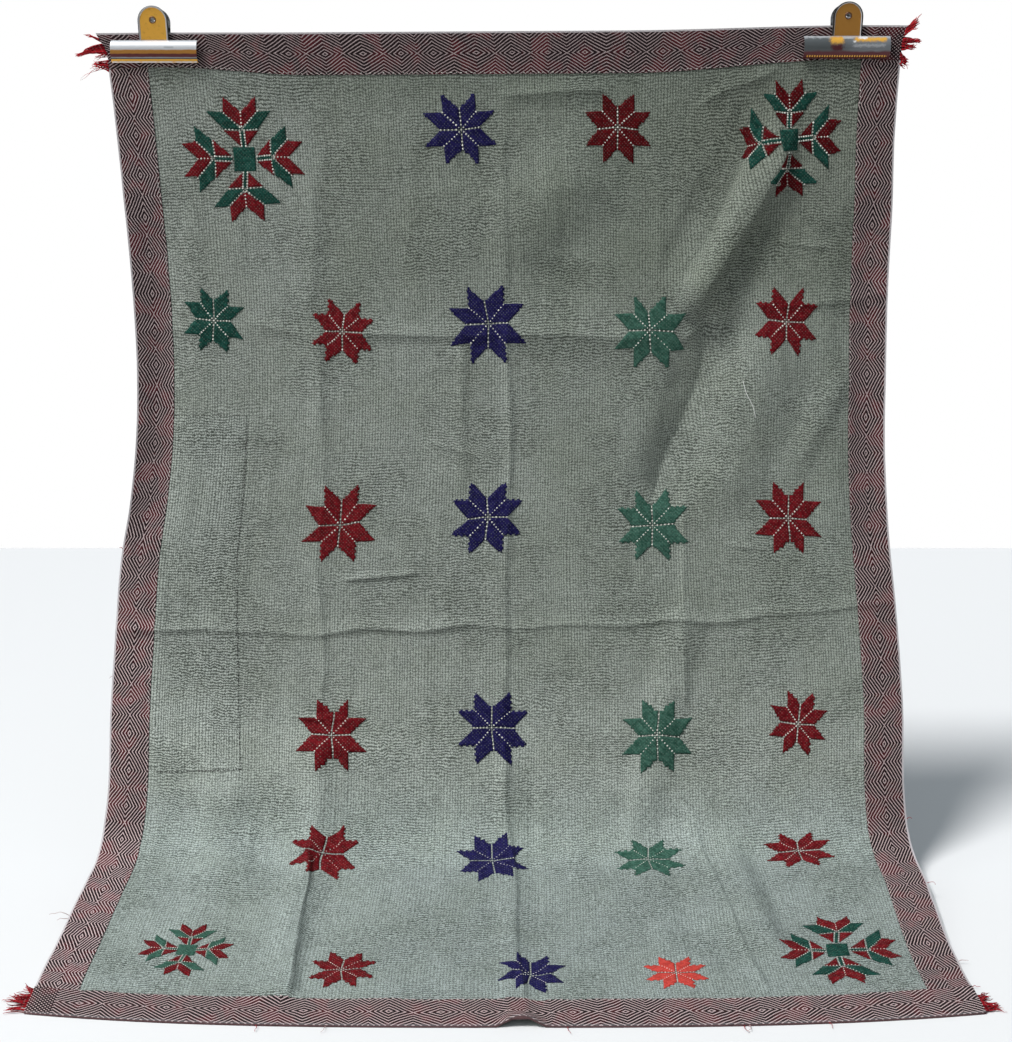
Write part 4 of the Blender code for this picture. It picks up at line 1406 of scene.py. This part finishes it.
# Threads that have worked loose: yarn, across and down of the root, reach to the right, towards
# the viewer and up, and bow in the same directions
LOOSE = (
    ("rose", 0.000, 1.628, -0.030, 0.010, 0.006, 0.000, 0.000, 0.012),
    ("rose", 0.000, 1.636, -0.018, 0.006, 0.002, 0.000, 0.004, 0.004),
    ("fray", 0.000, 0.884, -0.006, 0.002, 0.003, 0.000, 0.000, 0.003),
    ("rose", 0.000, 1.120, -0.006, 0.003, -0.002, 0.000, 0.000, 0.003),
    ("fray", 1.400, 1.390, 0.010, 0.003, 0.003, 0.000, 0.000, 0.004),
    ("fray", 1.400, 1.535, 0.014, 0.006, 0.002, 0.000, 0.000, 0.006),
    ("rose", 1.400, 1.760, 0.016, 0.004, 0.004, 0.000, 0.000, 0.006),
    ("fray", 1.400, 1.832, 0.012, 0.004, 0.002, 0.000, 0.000, 0.004),
    ("fray", 0.342, 1.905, 0.002, 0.018, 0.001, 0.004, 0.000, 0.004),
    ("rose", 0.442, 1.905, -0.003, 0.017, 0.001, 0.004, 0.000, 0.004),
    ("fray", 0.790, 1.905, 0.002, 0.018, 0.001, -0.004, 0.000, 0.004),
    ("fray", 1.043, 1.905, 0.004, 0.020, 0.001, -0.008, 0.000, 0.004),
    ("rose", 1.049, 1.905, -0.004, 0.018, 0.001, 0.006, 0.000, 0.004),
    ("fray", 1.165, 1.905, 0.002, 0.014, 0.001, 0.003, 0.000, 0.003),
)
LOOSE_RADIUS = 0.0006
LINT = ((1.131, 0.588), (1.136, 0.610), (1.146, 0.632), (1.152, 0.653))


def make_loose_threads():
    """Single threads off the cloth's edges, and a hair of lint that lies on its face."""
    yarns = {}
    rng = np.random.default_rng(50)
    for yarn, across, down, *reach in LOOSE:
        point, _, _, out = cloth_frame(across, down)
        reach, bow = np.array(reach[:3]) * (1, -1, 1), np.array(reach[3:]) * (1, -1, 1)
        path = strand_path(point, point + reach, bow, STRAND_WAVER, STRAND_STEPS, rng)
        path[:, 2] = np.maximum(path[:, 2], LOOSE_RADIUS)
        radii = np.linspace(LOOSE_RADIUS, LOOSE_RADIUS / 2, STRAND_STEPS + 1)
        tube(yarns.setdefault(yarn, Builder()), path, radii, out, STRAND_SIDES, 0.6)
    across, down = np.array(LINT).T
    smooth = np.linspace(0, len(LINT) - 1, 16)
    across, down = (np.interp(smooth, range(len(LINT)), line) for line in (across, down))
    high = QUILT_THICK / 2 + PUFF_HEIGHT
    path = raised(across, down, np.full(len(across), high))
    radii = np.full(len(path), LOOSE_RADIUS * 0.8)
    tube(yarns.setdefault("lint", Builder()), path, radii, (0, 1, 0), STRAND_SIDES, 0.8)
    return [made.object("loose_" + name, yarn_finish(name)) for name, made in yarns.items()]


def make_frays():
    # the frays lying on the floor take the darker copy of the yarn, painted shade
    hanging, lying = yarn_finish("fray"), yarn_finish("fray_shaded")
    for number, (node, locks) in enumerate(FRAYS.items()):
        finish = lying if "bottom" in node else hanging
        builder = Builder()
        rng = np.random.default_rng(40 + number)
        for lock in locks:
            fray_lock(builder, lock, "right" in node, "bottom" in node, rng)
        piece = builder.object(node + "_yarn", finish)
        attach(piece, "root")
        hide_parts(node)


# ---------------------------------------------------------------- clips
CLIP_NAMES = ("clip_left", "clip_right")
CLIP_INWARD = 0.005  # how much nearer the middle the clips stand than their solids
# What the solids leave out: the rolled lip, the tang's raised rim and eyelet, and the coil
SECTION_STEPS = 28
ROLL_RADIUS = 0.0013
ROLL_SIDES = 16
BAR_STEPS = 24
RIM_WIDE = 0.0024
RIM_HIGH = 0.0009
EYELET_HIGH = 0.0006
EDGE_ROUND = 0.00025
WIRE_RADIUS = 0.0011
WIRE_SIDES = 8
COIL_PITCH = 0.0026
COIL_STEPS = 18
CRISP_FROM = 35.0


def clip_top(x):
    """Middle of the grip at the top of the bar."""
    x -= np.sign(x) * CLIP_INWARD
    grip = (GAP + TAPE_THICK) / 2
    edge = on_cloth(QUILT_WIDTH / 2 + x, 0.0)
    return np.array([x, ORIGIN_FROM_WALL - CLOTH_FROM_WALL - grip, edge[2] - BAR_BELOW])


def tang_offset():
    """Distance of a tang's inner face from the grip's middle plane at the bar's top."""
    return (QUILT_THICK + GAP + TAPE_THICK) / 2 + TANG_CLEAR


def jaw_outline():
    """The closed section of a bar: distance from the grip's middle plane, and height."""
    touch = (QUILT_THICK + GAP + TAPE_THICK) / 2 + GAP + JAW_SHEET / 2
    turn = np.radians(np.linspace(ARC_FROM, ARC_TO, SECTION_STEPS + 1))
    arc = np.stack([touch + BAR_DEEP * np.cos(turn), BAR_TALL / 2 * (np.sin(turn) - 1)], axis=1)
    arc[-1, 0] = touch
    path = np.concatenate([arc, [[touch + LIP_OUT, -BAR_TALL - LIP_DOWN]]])
    along = unit(np.gradient(path, axis=0))
    normal = np.stack([-along[:, 1], along[:, 0]], axis=1) * JAW_SHEET / 2
    return np.concatenate([path + normal, (path - normal)[::-1]]), path[-1]


def loft(builder, loops, closed, origin):
    """Walls between loops of equally many points. UV is x and height from the origin."""
    points = np.concatenate(loops)
    size = len(loops[0])
    index = np.arange(len(points)).reshape(len(loops), size)
    rows = np.concatenate([index, index[:1]]) if closed else index
    after = np.roll(rows, -1, axis=1)
    walls = np.stack([rows[:-1], after[:-1], after[1:], rows[1:]], axis=-1).reshape(-1, 4)
    blocks = [walls] if closed else [walls, index[:1, ::-1], index[-1:]]
    builder.add(points, blocks, (points - origin)[:, [0, 2]], np.full(len(points), 0.5))


def bar_loops(outline, top, facing):
    loops = []
    for x in np.linspace(-BAR_LONG / 2, BAR_LONG / 2, BAR_STEPS + 1):
        across = np.full(len(outline), x)
        loops.append(top + np.stack([across, -facing * outline[:, 0], outline[:, 1]], axis=1))
    return loops


def circle(centre, radius, sides):
    turn = 2 * pi * np.arange(sides) / sides
    return centre + radius * np.stack([np.cos(turn), np.sin(turn)], axis=1)


def tang_loop(inset):
    """The tang's outline, moved in by an inset: up its right side, over the top and down."""
    half, low = TANG_WIDE / 2 - inset, -TANG_SINK + inset
    shoulder = TANG_TALL - TANG_WIDE / 2
    side = np.linspace(low, shoulder, 8)[:-1]
    turn = np.linspace(0, pi, 29)
    arc = np.stack([half * np.cos(turn), shoulder + half * np.sin(turn)], axis=1)
    foot = np.linspace(-half, half, 10)[1:-1]
    right = np.stack([np.full(len(side), half), side], axis=1)
    left = np.stack([np.full(len(side), -half), side[::-1]], axis=1)
    return np.concatenate([right, arc, left, np.stack([foot, np.full(len(foot), low)], axis=1)])


def eyelet_loop(radius):
    """A ring of points round the hole, each towards its mate on the tang's outline."""
    centre = np.array([0.0, TANG_TALL - HOLE_BELOW])
    return centre + radius * unit(tang_loop(0.0) - centre)


def tang_loops(top, facing):
    """Loops over the raised rim, the face, the eyelet, down the hole and over the back."""
    rim, ring = JAW_SHEET + RIM_HIGH, JAW_SHEET + EYELET_HIGH
    hole = HOLE_RADIUS
    stages = [
        (tang_loop(0.0), 0.0), (tang_loop(0.0), rim - EDGE_ROUND),
        (tang_loop(EDGE_ROUND), rim), (tang_loop(RIM_WIDE), rim),
        (tang_loop(RIM_WIDE + RIM_HIGH), JAW_SHEET),
        (eyelet_loop(hole + EYELET_WIDE + EYELET_HIGH), JAW_SHEET),
        (eyelet_loop(hole + EYELET_WIDE), ring), (eyelet_loop(hole + EDGE_ROUND), ring),
        (eyelet_loop(hole), ring - EDGE_ROUND), (eyelet_loop(hole), 0.0),
    ]
    lean = radians(TANG_LEAN)
    loops = []
    for points, s in stages:
        out = tang_offset() + points[:, 1] * sin(lean) + s * cos(lean)
        height = points[:, 1] * cos(lean) - s * sin(lean)
        loops.append(top + np.stack([points[:, 0], -facing * out, height], axis=1))
    return loops


def outward(thing):
    """Turns every face outwards, and keeps edges sharper than CRISP_FROM crisp."""
    work = bmesh.new()
    work.from_mesh(thing.data)
    bmesh.ops.recalc_face_normals(work, faces=work.faces)
    work.to_mesh(thing.data)
    work.free()
    thing.data.set_sharp_from_angle(angle=radians(CRISP_FROM))


def make_jaw(name, top, facing, finish):
    builder = Builder()
    outline, lip = jaw_outline()
    loft(builder, bar_loops(outline, top, facing), False, top)
    roll = circle(lip + np.array([0.0, ROLL_RADIUS / 2]), ROLL_RADIUS, ROLL_SIDES)
    loft(builder, bar_loops(roll, top, facing), False, top)
    loft(builder, tang_loops(top, facing), True, top)
    piece = builder.object(name + "_plate", finish)
    outward(piece)
    return piece


def make_spring(name, top, finish):
    """The coil on the pivot between the tangs."""
    lean = radians(TANG_LEAN)
    radius = (tang_offset() + PIVOT_UP * tan(lean)) * cos(lean) - GAP - WIRE_RADIUS
    turns = SPRING_LONG / COIL_PITCH
    turn = np.linspace(0, 2 * pi * turns, int(turns * COIL_STEPS) + 1)
    middle = top + np.array([0.0, 0.0, PIVOT_UP])
    run = (turn / turn[-1] - 0.5) * (SPRING_LONG - 2 * WIRE_RADIUS)
    path = middle + np.stack([run, radius * np.cos(turn), radius * np.sin(turn)], axis=1)
    builder = Builder()
    tube(builder, path, np.full(len(path), WIRE_RADIUS), (1.0, 0.0, 0.0), WIRE_SIDES, 0.5)
    return builder.object(name + "_coil", finish)


def make_clips():
    made = []
    steel = spring_steel()
    for name, x, paint in zip(CLIP_NAMES, CLIP_ACROSS, (left_plating, right_plating)):
        top = clip_top(x)
        front, back, spring = name + "_front", name + "_back", name + "_spring"
        made.append((make_jaw(front, top, 1, paint(front)), front))
        made.append((make_jaw(back, top, -1, back_plating(back)), back))
        made.append((make_spring(spring, top, steel), spring))
    for piece, node in made:
        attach(piece, "root")
        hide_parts(node)


# ---------------------------------------------------------------- stage
FLOOR_SIZE = 6.0
FLOOR_PAINT = (0.720, 0.720, 0.720)
SKY_HIGH = (0.440, 0.500, 0.550)
SKY_LOW = (0.120, 0.118, 0.115)
KEY_FROM = (-0.45, -0.30, 0.84)
KEY_SPREAD = 16.0
KEY_STRENGTH = 3.4
WINDOW_PLACE = (-2.6, -1.3, 1.5)
WINDOW_AIM = (0.0, 0.2, 0.7)
WINDOW_SIZE = 1.2
WINDOW_POWER = 14.0
WINDOW_COLOUR = (1.00, 0.98, 0.95)


def make_floor():
    bpy.ops.mesh.primitive_plane_add(size=FLOOR_SIZE)
    floor = bpy.context.object
    floor.name = "floor"
    nodes = Nodes("floor_paint")
    grain = nodes.noise(nodes.add("TexCoord").outputs["Object"], 60.0, 3.0)
    nodes.bump(grain, 0.0005, 0.1)
    floor.data.materials.append(nodes.finish(Base_Color=FLOOR_PAINT, Roughness=0.8))


def aimed(name, data, towards):
    """A light in the scene that shines along a direction."""
    light = bpy.data.objects.new(name, data)
    light.rotation_euler = Vector(towards).to_track_quat("-Z", "Y").to_euler()
    bpy.context.scene.collection.objects.link(light)
    return light


def make_window():
    data = bpy.data.lights.new("window", "AREA")
    data.shape = "DISK"
    data.size, data.energy, data.color = WINDOW_SIZE, WINDOW_POWER, WINDOW_COLOUR
    aimed("window", data, Vector(WINDOW_AIM) - Vector(WINDOW_PLACE)).location = WINDOW_PLACE


def make_sky():
    """Soft light, brighter and cooler from above, behind a plain white backdrop."""
    world = bpy.data.worlds.new("studio")
    world.use_nodes = True
    tree = world.node_tree
    place = tree.nodes.new("ShaderNodeTexCoord")
    axes = tree.nodes.new("ShaderNodeSeparateXYZ")
    shade = tree.nodes.new("ShaderNodeMix")
    path = tree.nodes.new("ShaderNodeLightPath")
    seen = tree.nodes.new("ShaderNodeMix")
    shade.data_type = seen.data_type = "RGBA"
    shade.inputs[6].default_value = (*SKY_LOW, 1.0)
    shade.inputs[7].default_value = (*SKY_HIGH, 1.0)
    seen.inputs[7].default_value = (1.0, 1.0, 1.0, 1.0)
    tree.links.new(place.outputs["Generated"], axes.inputs["Vector"])
    tree.links.new(axes.outputs["Z"], shade.inputs["Factor"])
    tree.links.new(path.outputs["Is Camera Ray"], seen.inputs["Factor"])
    tree.links.new(shade.outputs[2], seen.inputs[6])
    tree.links.new(seen.outputs[2], tree.nodes["Background"].inputs["Color"])
    bpy.context.scene.world = world


def make_studio():
    make_floor()
    sun = bpy.data.lights.new("key", "SUN")
    sun.energy, sun.angle = KEY_STRENGTH, radians(KEY_SPREAD)
    aimed("key", sun, -Vector(KEY_FROM))
    make_window()
    make_sky()
    bpy.context.scene.view_settings.view_transform = "Standard"


def make_camera():
    data = bpy.data.cameras.new("camera")
    data.lens, data.sensor_width = LENS, SENSOR_WIDE
    camera = bpy.data.objects.new("camera", data)
    camera.location = (0.0, ORIGIN_FROM_WALL - CAMERA_FROM_WALL, CAMERA_HEIGHT)
    camera.rotation_euler = (radians(90.0 - CAMERA_DOWN), 0.0, 0.0)
    bpy.context.scene.collection.objects.link(camera)
    bpy.context.scene.camera = camera


def main():
    make_camera()
    widths = make_cloth()
    tapes = make_tapes()
    for piece in make_embroidery() + make_seams() + make_loose_threads():
        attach(piece, "root")
    for piece, wide in widths:
        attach(piece, "root")
        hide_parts("quilt")
    for piece, node in zip(tapes, ("border_top", "border_bottom", "border_left", "border_right")):
        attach(piece, "root")
        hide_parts(node)
    make_frays()
    make_clips()
    make_studio()


main()
